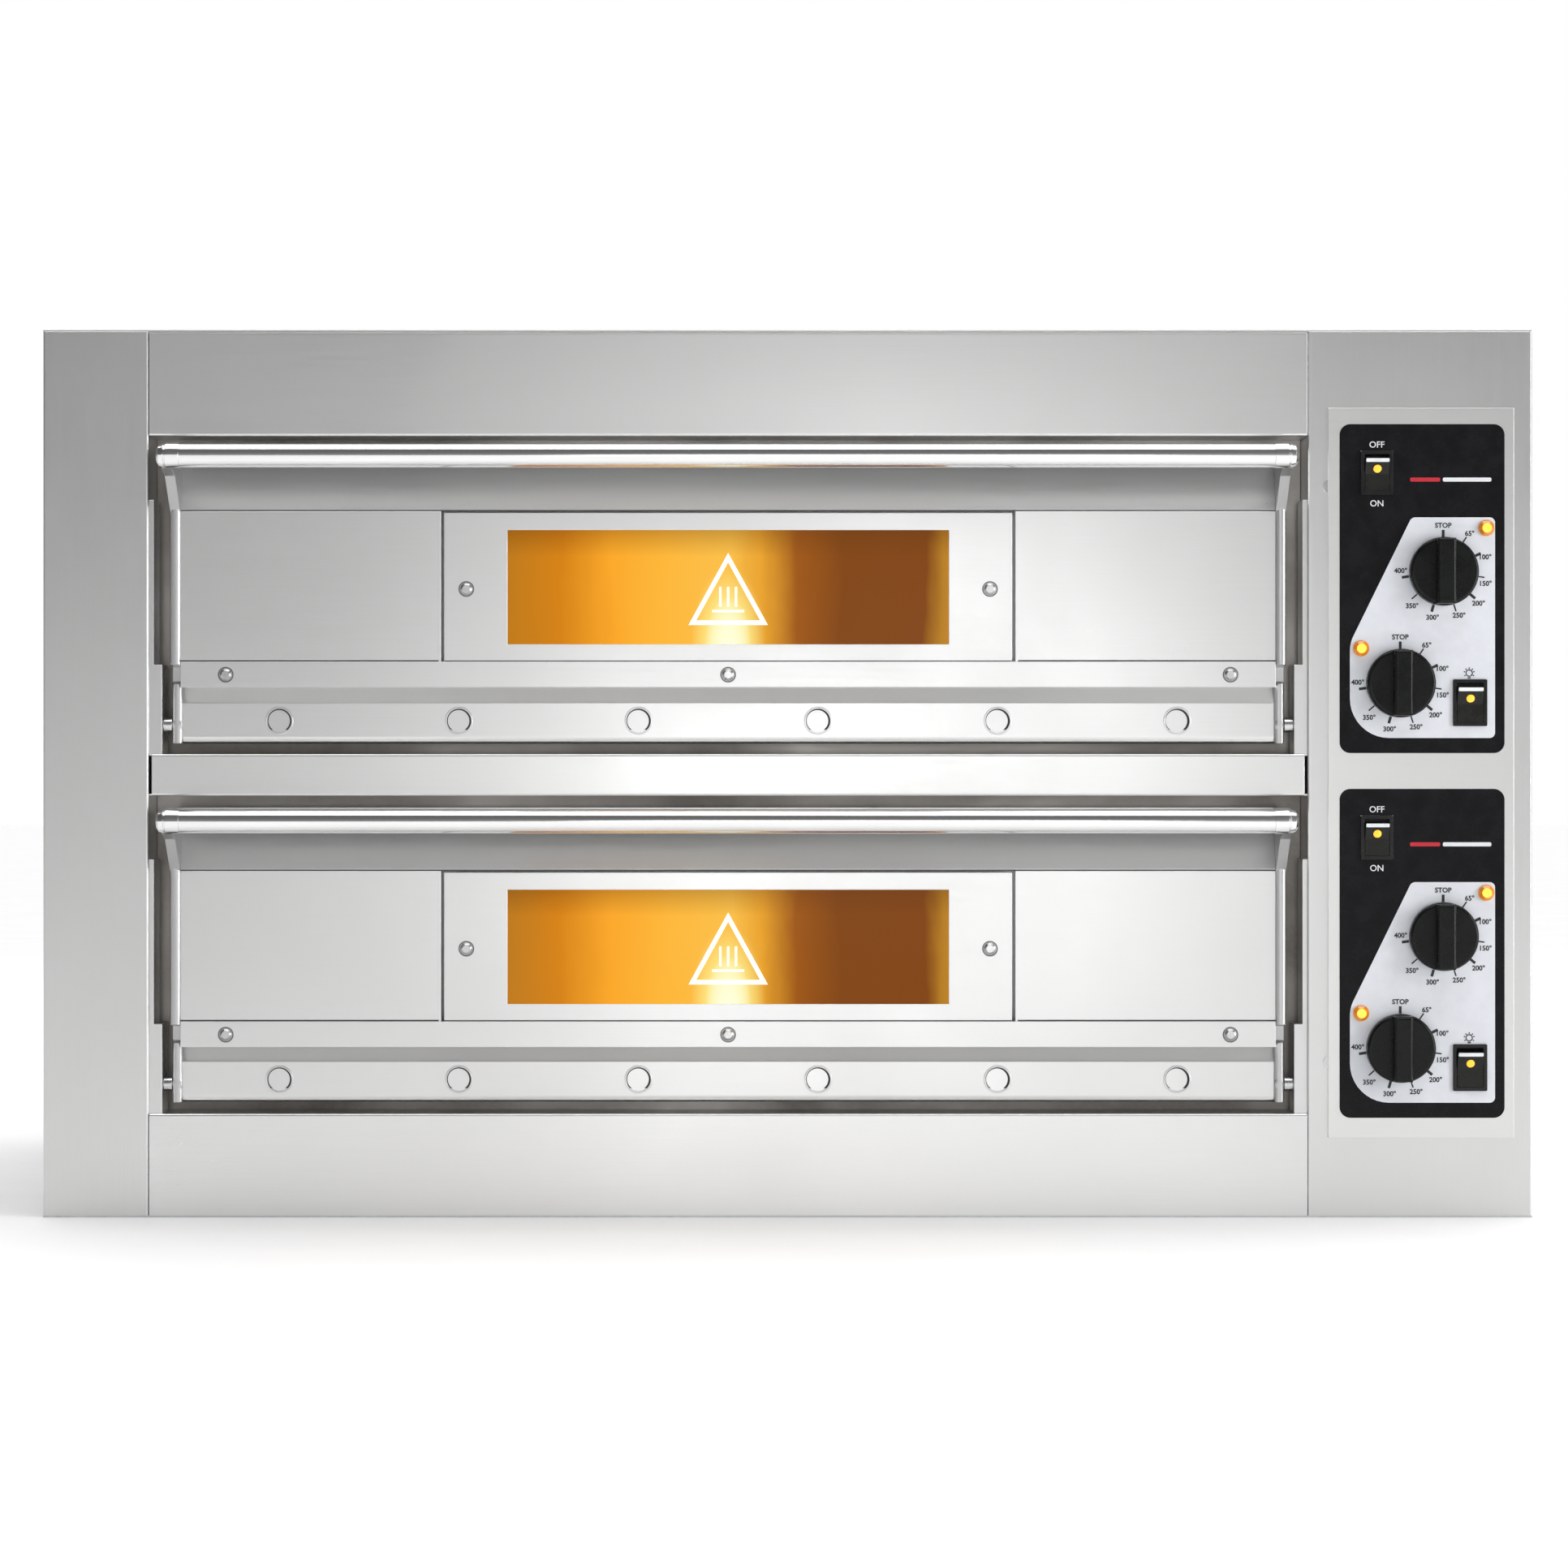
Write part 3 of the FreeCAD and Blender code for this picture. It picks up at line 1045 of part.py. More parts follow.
housings = []
for deck in DECKS:
    for name, (across_share, up_share, scale) in SWITCHES.items():
        across, height = on_film(deck, across_share, up_share)
        half_wide = f"({scale}*bezel_wide/2)"
        half_tall = f"({scale}*bezel_tall/2)"
        housing = solid_body(f"housing_{deck}_{name}")
        frame = sketch(housing, "XZ_Plane", f"-{FILM_FACE}", [
            rect(f"{across}-{half_wide}", f"{across}+{half_wide}", f"{height}-{half_tall}",
                 f"{height}+{half_tall}")])
        pad(housing, frame, "bezel_thick")
        soften(housing, "1.2", lambda edge: straight(edge, Y_AXIS))
        rear = sketch(housing, "XZ_Plane", f"-{FILM_FACE}", [
            rect(f"{across}-{half_wide}+1.6", f"{across}+{half_wide}-1.6", f"{height}-{half_tall}+1.6",
                 f"{height}+{half_tall}-1.6")])
        pad(housing, rear, "24", back=True)
        well = sketch(housing, "XZ_Plane", f"-{FILM_FACE}+bezel_thick", [
            rect(f"{across}-{half_wide}+bezel_rim", f"{across}+{half_wide}-bezel_rim",
                 f"{height}-{half_tall}+bezel_rim", f"{height}+{half_tall}-bezel_rim")])
        pocket(housing, well, "bezel_thick+19")
        pivot_y = f"({FILM_FACE}-bezel_thick+rocker_apex)"
        holes = sketch(housing, "YZ_Plane", f"{across}+{half_wide}", [],
                       [(pivot_y, height, "(trunnion_radius+trunnion_fit)")])
        pocket(housing, holes, f"2*{half_wide}")
        housings.append(housing)

        rocker = solid_body(f"{deck}_{name}_rocker")
        half = f"({half_wide}-bezel_rim-rocker_slack)"
        tip = f"({scale}*(bezel_tall/2)-bezel_rim-rocker_tip)"
        lean = f"({tip}*tan({ROCKER_TILT} deg))"
        profile = sketch(rocker, "YZ_Plane", f"-{half}", [[
            ("-rocker_apex", "0"),
            (f"-rocker_apex-{lean}", f"-{tip}"),
            ("0", f"-{tip}+1"),
            ("5", f"-{tip}/2"),
            ("5", f"{tip}/2"),
            ("0", f"{tip}-1"),
            (f"-rocker_apex-{lean}", tip),
        ]])
        pad(rocker, profile, f"2*{half}")
        trunnion = sketch(rocker, "YZ_Plane", f"-{half}-1.3", [], [("0", "0", "trunnion_radius")])
        pad(rocker, trunnion, f"2*{half}+2.6")
        place(rocker, (across, pivot_y, height), FreeCAD.Rotation(X_AXIS, ROCKER_TILT))
        node(rocker)
node(grouped("switch_housings", housings))

for deck in DECKS:
    for dial, spot in DIALS.items():
        across, height = on_film(deck, *spot)
        knob = solid_body(f"{deck}_{dial}_knob")
        disc = sketch(knob, "XZ_Plane", "0", [], [("0", "0", "knob_radius")])
        pad(knob, disc, "knob_disc")
        disc_front = -get("knob_disc")
        soften(knob, "3", lambda edge: near(edge.CenterOfMass.y, disc_front))
        grip = sketch(knob, "XZ_Plane", "knob_disc-1", [
            rect("-knob_grip_wide/2", "knob_grip_wide/2", "-knob_radius+1.4", "knob_radius-1.4")])
        pad(knob, grip, "knob_grip_tall+1")
        grip_front = -get("knob_disc") - get("knob_grip_tall")
        soften(knob, "2.6", lambda edge: near(edge.CenterOfMass.y, grip_front))
        socket = sketch(knob, "XZ_Plane", "-1", [], [("0", "0", "(shaft_radius+shaft_fit)")])
        pocket(knob, socket, "knob_disc+6", back=True)
        place(knob, (across, f"{FILM_FACE}-knob_float", height))
        node(knob)

# ---- services and fasteners ----------------------------------------------------------------------------

block = solid_body("terminal_block")
block_outline = sketch(block, "YZ_Plane", f"{OPEN_RIGHT}+metal",
                       [rect(f"{BACK}-170", f"{BACK}-80", "gland_up+20", "gland_up+50")])
pad(block, block_outline, "26")
wells = sketch(block, "YZ_Plane", f"{OPEN_RIGHT}+metal+30", [],
               [(f"{BACK}-160+{17.5 * number}", "gland_up+35", "5") for number in range(5)])
pocket(block, wells, "16")
node(block)

gland_x = f"({RIGHT}-gland_side)"
hexagon = doc.addObject("Part::Prism", "gland_hexagon")
hexagon.Polygon = 6
hexagon.setExpression("Circumradius", bound("gland_radius+5"))
hexagon.Height = 6
place(hexagon, (gland_x, BACK, "gland_up"), TURNS["rear"])
nut = doc.addObject("Part::Prism", "gland_nut")
nut.Polygon = 6
nut.setExpression("Circumradius", bound("gland_radius+5"))
nut.Height = 5
place(nut, (gland_x, f"{BACK}-metal", "gland_up"), TURNS["front"])
gland_outer = fused("gland_outer", [
    hexagon,
    cone("gland_cap", (gland_x, f"{BACK}+6", "gland_up"), "rear", "gland_radius+2.5", "gland_radius-1", "12"),
    nut,
    rod("gland_thread", (gland_x, f"{BACK}+1", "gland_up"), "front", "gland_radius", "14"),
])
gland_hole = rod("gland_hole", (gland_x, f"{BACK}+30", "gland_up"), "front", "gland_bore", "60")
node(cut("cable_gland", gland_outer, gland_hole))

fixings = []
for number, (along, height) in enumerate(SIDE_SCREWS):
    fixings.append(screw(f"left_fixing_{number}", (LEFT, along, height), "left", "metal"))
    fixings.append(screw(f"right_fixing_{number}", (RIGHT, along, height), "right", "metal"))
for number, (across, height) in enumerate(BACK_SCREWS):
    fixings.append(screw(f"back_fixing_{number}", (across, BACK, height), "rear", "metal"))
for number, (across, height) in enumerate(side_fixings):
    fixings.append(rod(f"front_fixing_{number}", (across, FRONT, height), "front", "6.25", "0.9"))
node(grouped("casing_screws", fixings))

# ---- check and write -----------------------------------------------------------------------------------

doc.recompute()
for item in doc.Objects:
    if "Invalid" in item.State or "Error" in item.State:
        raise ValueError(item.Label + " did not compute")
os.makedirs("parts", exist_ok=True)
for item in nodes:
    if item.Shape.isNull() or not item.Shape.isValid():
        raise ValueError(item.Label + " has no valid shape")
    item.Shape.exportStep(os.path.join("parts", item.Label + ".step"))
print(len(nodes), "pieces written")
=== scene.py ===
# %% [markdown]
# # A two-deck bakery oven, dressed for its picture
# The oven itself arrives as finished CAD: every panel, door, knob and tube is already at its real size and place,
# in metres. This lesson adds what CAD leaves out: the finish of each metal, the print on the controls, the marks
# and small mouldings that the eye expects, then a soft studio round it all.

# %% The frame
import bmesh
import bpy
import math
from mathutils import Matrix, Vector


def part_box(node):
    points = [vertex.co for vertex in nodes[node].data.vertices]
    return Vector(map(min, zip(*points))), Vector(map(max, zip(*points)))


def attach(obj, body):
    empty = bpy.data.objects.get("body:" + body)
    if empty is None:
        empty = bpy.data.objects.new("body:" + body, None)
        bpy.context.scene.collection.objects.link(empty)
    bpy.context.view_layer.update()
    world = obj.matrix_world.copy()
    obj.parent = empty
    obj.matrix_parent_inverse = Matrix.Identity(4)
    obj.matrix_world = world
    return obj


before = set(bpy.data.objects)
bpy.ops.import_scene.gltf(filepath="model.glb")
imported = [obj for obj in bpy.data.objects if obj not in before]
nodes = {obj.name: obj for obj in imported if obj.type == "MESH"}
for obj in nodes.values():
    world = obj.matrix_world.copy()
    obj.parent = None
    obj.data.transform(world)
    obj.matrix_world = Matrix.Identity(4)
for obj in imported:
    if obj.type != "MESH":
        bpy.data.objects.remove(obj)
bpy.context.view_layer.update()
DECKS = ("upper", "lower")

# %% [markdown]
# ## The camera
# A catalogue view of such an oven is taken square-on, from the height of its middle, with a long lens, so that
# the front stays a true rectangle. The lens is worked out from the width of the view at the front plane.

# %% The camera
FRONT_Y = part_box("front_sill")[0].y
VIEW_WIDE, STAND_OFF = 1.3161, 3.2
EYE_ACROSS, EYE_HEIGHT = -0.0031, 0.3638

camera_data = bpy.data.cameras.new("view")
camera_data.sensor_width = 36.0
camera_data.lens = camera_data.sensor_width * STAND_OFF / VIEW_WIDE
camera_data.clip_start, camera_data.clip_end = 0.05, 60
camera = bpy.data.objects.new("view", camera_data)
camera.location = (EYE_ACROSS, FRONT_Y - STAND_OFF, EYE_HEIGHT)
camera.rotation_euler = (math.pi / 2, 0, 0)
bpy.context.scene.collection.objects.link(camera)
bpy.context.scene.camera = camera
print("lens", round(camera_data.lens, 1), "mm")

# %% [markdown]
# ## A studio
# Steel shows its surroundings more than itself. A pale room that is dimmer on the left gives the sheet its slow
# greys, one soft box behind the eye puts a glow on the middle of the front, a strip on the right draws the bright
# line down every edge that faces it, and a wide soft sun overhead keeps the floor evenly pale out to the horizon.

# %% Lights
def area_light(name, place, aim, wide, tall, brightness):
    """A soft rectangular light at a place, pointing at another. Brightness is what its face shows."""
    data = bpy.data.lights.new(name, "AREA")
    data.shape = "RECTANGLE"
    data.size, data.size_y = wide, tall
    data.energy = brightness * math.pi * wide * tall
    light = bpy.data.objects.new(name, data)
    light.location = place
    light.rotation_euler = (Vector(aim) - Vector(place)).to_track_quat("-Z", "Y").to_euler()
    bpy.context.scene.collection.objects.link(light)
    return light


MIDDLE = (0, FRONT_Y, 0.37)
SUN_STRENGTH, SUN_SPREAD, SUN_LEAN = 3.1, 70, (-4, 6, 0)
area_light("front_box", (0.15, -4.0, 0.46), MIDDLE, 0.9, 0.85, 2.6)
area_light("right_strip", (2.7, -1.5, 0.6), MIDDLE, 0.6, 1.8, 12.0)
area_light("overhead", (0, -0.9, 2.8), (0, -0.3, 0.5), 2.4, 0.6, 0.85)
area_light("rear", (-1.2, 3.4, 2.2), (0, 0.3, 0.4), 2.4, 2.0, 1.2)

sun_data = bpy.data.lights.new("soft_sun", "SUN")
sun_data.energy = SUN_STRENGTH
sun_data.angle = math.radians(SUN_SPREAD)
sun = bpy.data.objects.new("soft_sun", sun_data)
sun.rotation_euler = [math.radians(lean) for lean in SUN_LEAN]
bpy.context.scene.collection.objects.link(sun)
print(len(bpy.data.lights), "lights")

# %% The room
world = bpy.data.worlds.new("pale_room")
world.use_nodes = True
room = world.node_tree
look = room.nodes.new("ShaderNodeTexCoord")
parts = room.nodes.new("ShaderNodeSeparateXYZ")
room.links.new(look.outputs["Generated"], parts.inputs["Vector"])


def room_ramp(axis, start, end, low, high):
    """Brightness of the room along one axis of the way a ray looks."""
    ramp = room.nodes.new("ShaderNodeMapRange")
    ramp.interpolation_type = "SMOOTHSTEP"
    for key, value in zip(("From Min", "From Max", "To Min", "To Max"), (start, end, low, high)):
        ramp.inputs[key].default_value = value
    room.links.new(parts.outputs[axis], ramp.inputs["Value"])
    return ramp.outputs["Result"]


walls = room.nodes.new("ShaderNodeMath")
walls.operation = "MULTIPLY"
room.links.new(room_ramp("X", -0.6, 0.2, 0.16, 0.27), walls.inputs[0])
room.links.new(room_ramp("Z", -0.1, 0.6, 1.15, 0.60), walls.inputs[1])
seen = room.nodes.new("ShaderNodeLightPath")
direct = room.nodes.new("ShaderNodeMath")
direct.operation = "MAXIMUM"
room.links.new(walls.outputs["Value"], direct.inputs[0])
room.links.new(seen.outputs["Is Camera Ray"], direct.inputs[1])
backdrop = room.nodes["Background"]
backdrop.inputs["Color"].default_value = (1, 1, 1, 1)
room.links.new(direct.outputs["Value"], backdrop.inputs["Strength"])
bpy.context.scene.world = world
bpy.context.scene.view_settings.view_transform = "Standard"

# %% [markdown]
# ## Working by hand, in code
# Operators act on whatever is selected, and the loaded CAD is selected, so each piece starts by choosing only
# itself. A finished piece keeps its object at the origin with its place in its mesh, exactly as the CAD does, so
# that patterns and joints agree.

# %% Modelling helpers
def choose_only(thing):
    """Deselects everything, then selects and activates one object."""
    if bpy.context.object and bpy.context.object.mode != "OBJECT":
        bpy.ops.object.mode_set(mode="OBJECT")
    bpy.ops.object.select_all(action="DESELECT")
    if thing is not None:
        thing.select_set(True)
        bpy.context.view_layer.objects.active = thing


def settle(piece):
    """Moves a piece's place into its mesh."""
    choose_only(piece)
    bpy.ops.object.transform_apply(location=True, rotation=True, scale=True)
    return piece


FLOOR_WIDE = 60
choose_only(None)
bpy.ops.mesh.primitive_plane_add(size=FLOOR_WIDE, location=(0, 0, 0))
floor = bpy.context.object
floor.name = "floor"
settle(floor)
print("floor", floor.dimensions[:])

# %% [markdown]
# ## How a finish is built
# Every finish here starts from one shader and adds what its real surface has. A few small helpers keep the
# recipes short: one makes an empty material, one gives a noise in the object's own space (stretched where the
# surface was brushed), and one turns a noise into a value between two limits.

# %% Finish helpers
class Finish:
    """A material under construction: its shader, and the coordinates of the object it will be put on."""

    def __init__(self, name):
        self.material = bpy.data.materials.new(name)
        self.material.use_nodes = True
        self.tree = self.material.node_tree
        self.shader = self.tree.nodes["Principled BSDF"]
        self.coords = self.tree.nodes.new("ShaderNodeTexCoord")

    def put(self, **values):
        """Constants, straight on the shader's own sockets."""
        for key, value in values.items():
            self.shader.inputs[key.replace("_", " ")].default_value = value
        return self

    def link(self, source, target):
        self.tree.links.new(source, target)

    def noise(self, stretch, detail=4.0, rough=0.55, distort=0.0):
        """Noise in object space; stretch is how many features there are per metre along X, Y and Z."""
        mapping = self.tree.nodes.new("ShaderNodeMapping")
        mapping.inputs["Scale"].default_value = stretch
        self.link(self.coords.outputs["Object"], mapping.inputs["Vector"])
        noise = self.tree.nodes.new("ShaderNodeTexNoise")
        noise.inputs["Scale"].default_value = 1.0
        noise.inputs["Detail"].default_value = detail
        noise.inputs["Roughness"].default_value = rough
        noise.inputs["Distortion"].default_value = distort
        self.link(mapping.outputs["Vector"], noise.inputs["Vector"])
        return noise.outputs["Fac"]

    def cells(self, stretch, feature="F1"):
        """Cell pattern in object space, for grit and speckle."""
        mapping = self.tree.nodes.new("ShaderNodeMapping")
        mapping.inputs["Scale"].default_value = stretch
        self.link(self.coords.outputs["Object"], mapping.inputs["Vector"])
        cells = self.tree.nodes.new("ShaderNodeTexVoronoi")
        cells.feature = feature
        cells.inputs["Scale"].default_value = 1.0
        self.link(mapping.outputs["Vector"], cells.inputs["Vector"])
        return cells.outputs["Distance"]

    def span(self, source, low, high, start=0.3, end=0.7):
        """Maps the source between start and end onto low to high."""
        node = self.tree.nodes.new("ShaderNodeMapRange")
        for key, value in zip(("From Min", "From Max", "To Min", "To Max"), (start, end, low, high)):
            node.inputs[key].default_value = value
        self.link(source, node.inputs["Value"])
        return node.outputs["Result"]

    def math(self, kind, first, second):
        node = self.tree.nodes.new("ShaderNodeMath")
        node.operation = kind
        for socket, value in zip(node.inputs, (first, second)):
            if hasattr(value, "is_linked"):
                self.link(value, socket)
            else:
                socket.default_value = value
        return node.outputs["Value"]

    def blend(self, factor, first, second):
        """Mixes two colours, each a colour or a socket."""
        node = self.tree.nodes.new("ShaderNodeMix")
        node.data_type = "RGBA"
        self.link(factor, node.inputs["Factor"])
        for socket, value in zip((node.inputs[6], node.inputs[7]), (first, second)):
            if hasattr(value, "is_linked"):
                self.link(value, socket)
            else:
                socket.default_value = (*value, 1)
        return node.outputs[2]

    def bump(self, height, strength, distance, under=None):
        node = self.tree.nodes.new("ShaderNodeBump")
        node.inputs["Strength"].default_value = strength
        node.inputs["Distance"].default_value = distance
        self.link(height, node.inputs["Height"])
        if under is not None:
            self.link(under, node.inputs["Normal"])
        return node.outputs["Normal"]

    def soft_edges(self, radius):
        """Rounds sharp sheet edges in the shading, so that they catch a thin line of light."""
        node = self.tree.nodes.new("ShaderNodeBevel")
        node.samples = 4
        node.inputs["Radius"].default_value = radius
        return node.outputs["Normal"]

    def to(self, socket, source):
        self.link(source, self.shader.inputs[socket])
        return self


def tint(colour, by):
    return tuple(min(1.0, channel * by) for channel in colour)


def dress(finish, *names):
    """Puts a finish on CAD nodes."""
    for name in names:
        slots = nodes[name].data.materials
        slots.clear()
        slots.append(finish.material)


print("helpers ready")

# %% [markdown]
# ## Satin stainless sheet
# The casing, the doors and the frame are stainless sheet with a fine satin finish: a very faint grain along the
# rolling direction and cloudy patches where cloths have wiped it. The grain is a noise stretched fifty times
# along one direction; the clouds move roughness and tone by a few percent.

# %% Satin stainless sheet
# Features per metre along X, Y and Z, by the axis that the sheet is brushed along.
GRAIN = {"x": (14, 700, 700), "y": (700, 14, 700), "z": (700, 700, 14)}
TONE_SWING, WIPED_TINT = 0.015, 0.94
GRAIN_GLOSS, FLECK_GLOSS, GRAIN_DEEP = 0.012, 0.008, 0.0004


def satin(name, colour=(0.72, 0.72, 0.715), along="x", rough=0.31, grain=0.0012,
          cloud=0.03, edge=0.0009):
    """Stainless sheet brushed along one axis."""
    steel = Finish(name)
    streaks = steel.noise(GRAIN[along], detail=3.0, rough=0.6)
    flecks = steel.noise((260, 260, 260), detail=2.0)
    clouds = steel.noise((3.1, 3.1, 3.1), detail=3.0, rough=0.5, distort=0.4)
    tone = steel.blend(steel.span(streaks, 0, 1),
                       tint(colour, 1 - TONE_SWING), tint(colour, 1 + TONE_SWING))
    tone = steel.blend(steel.span(clouds, 0, 1, 0.25, 0.75), tone, tint(colour, WIPED_TINT))
    steel.to("Base Color", tone)
    wiped = steel.span(clouds, rough - cloud, rough + cloud, 0.3, 0.7)
    grained = steel.math("ADD", wiped, steel.span(streaks, -GRAIN_GLOSS, GRAIN_GLOSS))
    steel.to("Roughness", steel.math("ADD", grained, steel.span(flecks, -FLECK_GLOSS, FLECK_GLOSS)))
    steel.to("Normal", steel.bump(streaks, grain, GRAIN_DEEP, steel.soft_edges(edge)))
    return steel.put(Metallic=1.0)


frame_steel = satin("satin_steel_upright", along="z")
across_steel = satin("satin_steel_across", colour=(0.77, 0.77, 0.765), along="x")
dress(frame_steel, "left_front_post", "control_fascia")
dress(across_steel, "front_header", "front_sill", "middle_crossbar", "roof_panel")
side_steel = satin("satin_steel_sides", along="y", rough=0.38)
dress(side_steel, "left_side_panel", "right_side_panel")
door_steel = satin("satin_steel_doors", colour=(0.74, 0.74, 0.735), along="x", rough=0.31)
# The cheeks take a darker copy of the door steel: painted shade that tones down the bright line on their rounded
# edges.
cheek_steel_shaded = satin("satin_steel_cheeks_shaded", colour=(0.58, 0.58, 0.58), along="z", rough=0.38)
for deck in DECKS:
    dress(door_steel, f"{deck}_door_skin", f"{deck}_vented_skirt", f"{deck}_window_plate")
    dress(across_steel, f"{deck}_door_inner_panel")
    dress(cheek_steel_shaded, f"{deck}_door_cheeks")
plate_steel = satin("brushed_control_plate", colour=(0.78, 0.78, 0.77), along="x", rough=0.34, grain=0.05)
dress(plate_steel, "control_plate")
print("steel on", sum(1 for each in nodes.values() if each.data.materials[0].name.startswith("satin")), "nodes")

# %% [markdown]
# ## Polished steel
# The handle bars are polished tube, the end caps turned and polished with them. Polishing leaves rings of very
# fine lines round the tube and a little haze from hands, most of it in the middle of the bar.

# %% Polished steel
def polished(name, colour=(0.86, 0.86, 0.86), rough=0.1, lines=0.02):
    steel = Finish(name)
    rings = steel.noise((900, 14, 14), detail=2.0)
    haze = steel.noise((9, 40, 40), detail=3.0)
    steel.to("Base Color", steel.blend(steel.span(haze, 0, 1), colour, tint(colour, 0.94)))
    steel.to("Roughness", steel.math("ADD", steel.span(haze, rough, rough + 0.08),
                                     steel.span(rings, -0.02, 0.02)))
    steel.to("Normal", steel.bump(rings, lines, 0.0002, steel.soft_edges(0.0006)))
    return steel.put(Metallic=1.0)


bar_steel = polished("polished_bar")
screw_steel = polished("plated_screws", colour=(0.62, 0.62, 0.62), rough=0.24)
pin_steel = polished("turned_pins", colour=(0.66, 0.66, 0.66), rough=0.25)
for deck in DECKS:
    dress(bar_steel, f"{deck}_handle_bar", f"{deck}_handle_caps")
    dress(screw_steel, f"{deck}_door_screws")
    dress(pin_steel, f"{deck}_hinge_pins")
dress(screw_steel, "casing_screws")
print("polished steel ready")

# %% [markdown]
# ## Galvanised sheet
# The base, the back and the bulkhead are zinc-coated sheet, cheaper and out of sight; the hinge brackets take the
# frame's satin steel. Zinc
# freezes into spangles: flat crystals a few millimetres across, each with its own grey and its own gloss.

# %% Galvanised sheet
def galvanised(name, colour=(0.60, 0.62, 0.63)):
    zinc = Finish(name)
    spangle = zinc.cells((160, 160, 160))
    drift = zinc.noise((5, 5, 5), detail=3.0)
    tone = zinc.blend(zinc.span(spangle, 0, 1, 0.1, 0.8), tint(colour, 0.86), tint(colour, 1.12))
    zinc.to("Base Color", zinc.blend(zinc.span(drift, 0, 1), tone, tint(colour, 0.95)))
    zinc.to("Roughness", zinc.span(spangle, 0.34, 0.52, 0.1, 0.8))
    zinc.to("Normal", zinc.bump(spangle, 0.06, 0.0004, zinc.soft_edges(0.0008)))
    return zinc.put(Metallic=1.0)


zinc = galvanised("galvanised_sheet")
dress(zinc, "base_pan", "back_panel", "control_bay_wall", "thermostats")
dress(frame_steel, "hinge_brackets")
outlet_steel = satin("drawn_outlet_tube", colour=(0.66, 0.65, 0.63), along="y", rough=0.3)
dress(outlet_steel, "steam_outlets")
print("galvanised sheet ready")

# %% [markdown]
# ## Inside the decks
# Heat changes everything in there. The aluminised chamber goes brown and blue in clouds, the tubes oxidise to a
# dry near-black, the refractory slabs are pale grit with flour burnt into their pores.

# %% Inside the decks
chamber = Finish("heat_tinted_chamber")
heat = chamber.noise((4, 4, 6), detail=4.0, distort=0.8)
fine = chamber.noise((180, 180, 180), detail=2.0)
warm = chamber.blend(chamber.span(heat, 0, 1), (0.42, 0.40, 0.38), (0.27, 0.245, 0.22))
chamber.to("Base Color", chamber.blend(chamber.span(fine, 0, 0.4), warm, (0.36, 0.35, 0.34)))
chamber.to("Roughness", chamber.span(heat, 0.32, 0.55))
chamber.to("Normal", chamber.bump(fine, 0.08, 0.0005, chamber.soft_edges(0.0008)))
chamber.put(Metallic=0.9)

tube = Finish("oxidised_heater_tube")
scale = tube.noise((240, 240, 240), detail=4.0)
tube.to("Base Color", tube.blend(tube.span(scale, 0, 1), (0.055, 0.05, 0.048), (0.12, 0.10, 0.09)))
tube.to("Roughness", tube.span(scale, 0.55, 0.8))
tube.to("Normal", tube.bump(scale, 0.25, 0.0004))
tube.put(Metallic=0.4)

stone = Finish("refractory_slab")
grit = stone.noise((420, 420, 420), detail=5.0)
pores = stone.cells((300, 300, 300))
burnt = stone.noise((12, 9, 12), detail=5.0, distort=0.6)
base = stone.blend(stone.span(grit, 0, 1), (0.56, 0.48, 0.37), (0.71, 0.63, 0.52))
scorched = stone.span(burnt, 0, 0.75, 0.5, 0.8)
stone.to("Base Color", stone.blend(scorched, base, (0.27, 0.19, 0.12)))
stone.to("Roughness", stone.span(grit, 0.8, 0.95))
stone.to("Normal", stone.bump(pores, 0.3, 0.0008, stone.bump(grit, 0.3, 0.0005)))

wool = Finish("mineral_wool")
fibres = wool.noise((90, 700, 700), detail=5.0, distort=1.2)
wool.to("Base Color", wool.blend(wool.span(fibres, 0, 1), (0.62, 0.53, 0.30), (0.80, 0.74, 0.52)))
wool.to("Roughness", wool.span(fibres, 0.85, 1.0))
wool.to("Normal", wool.bump(fibres, 0.6, 0.002))

lamp = Finish("heatproof_lamp_glass")
ribs = lamp.noise((8, 500, 8), detail=1.0)
lamp.to("Roughness", lamp.span(ribs, 0.08, 0.2))
lamp.put(Base_Color=(1.0, 0.82, 0.5, 1), Emission_Color=(1.0, 0.62, 0.22, 1), Emission_Strength=6.0)

for deck in DECKS:
    dress(chamber, f"{deck}_baking_chamber")
    dress(tube, f"{deck}_top_elements", f"{deck}_bottom_elements")
    dress(stone, f"{deck}_stone_floor")
dress(wool, "insulation_blankets")
dress(lamp, "chamber_lamps")
print("inside finishes ready")

# %% [markdown]
# ## Heat-proof glass
# The panes carry an amber coating that keeps the heat in. The chamber lamp sits low behind the middle of the
# window, and its glow is painted into the coating by place: white-yellow at the lamp, orange towards the left
# where the light grazes the chamber wall, dark amber on the right, behind the lamp's shade, and a painted shade
# along the top edge. Painting the glow on the coating keeps it with the door when it opens; a lamp alone would
# leave the deep pane dull.

# %% The amber glow
# Colours of the painted glow across the pane, from its left edge to its right.
GLOW_STOPS = (
    (0.00, (0.50, 0.19, 0.010)), (0.12, (0.66, 0.22, 0.004)), (0.24, (0.95, 0.39, 0.018)),
    (0.36, (0.97, 0.47, 0.035)), (0.50, (0.95, 0.52, 0.060)), (0.58, (0.80, 0.36, 0.020)),
    (0.66, (0.32, 0.085, 0.001)), (0.76, (0.20, 0.050, 0.001)), (0.95, (0.20, 0.048, 0.001)),
    (0.985, (0.45, 0.20, 0.012)), (1.00, (0.50, 0.22, 0.015)))
PANE_HALF, PANE_TALL = 0.1853, 0.096
# Size of the painted hot spot at the lamp, and height of the painted shade along the top.
SPOT_WIDE, SPOT_TALL, SHADE_TALL = 0.030, 0.062, 0.022


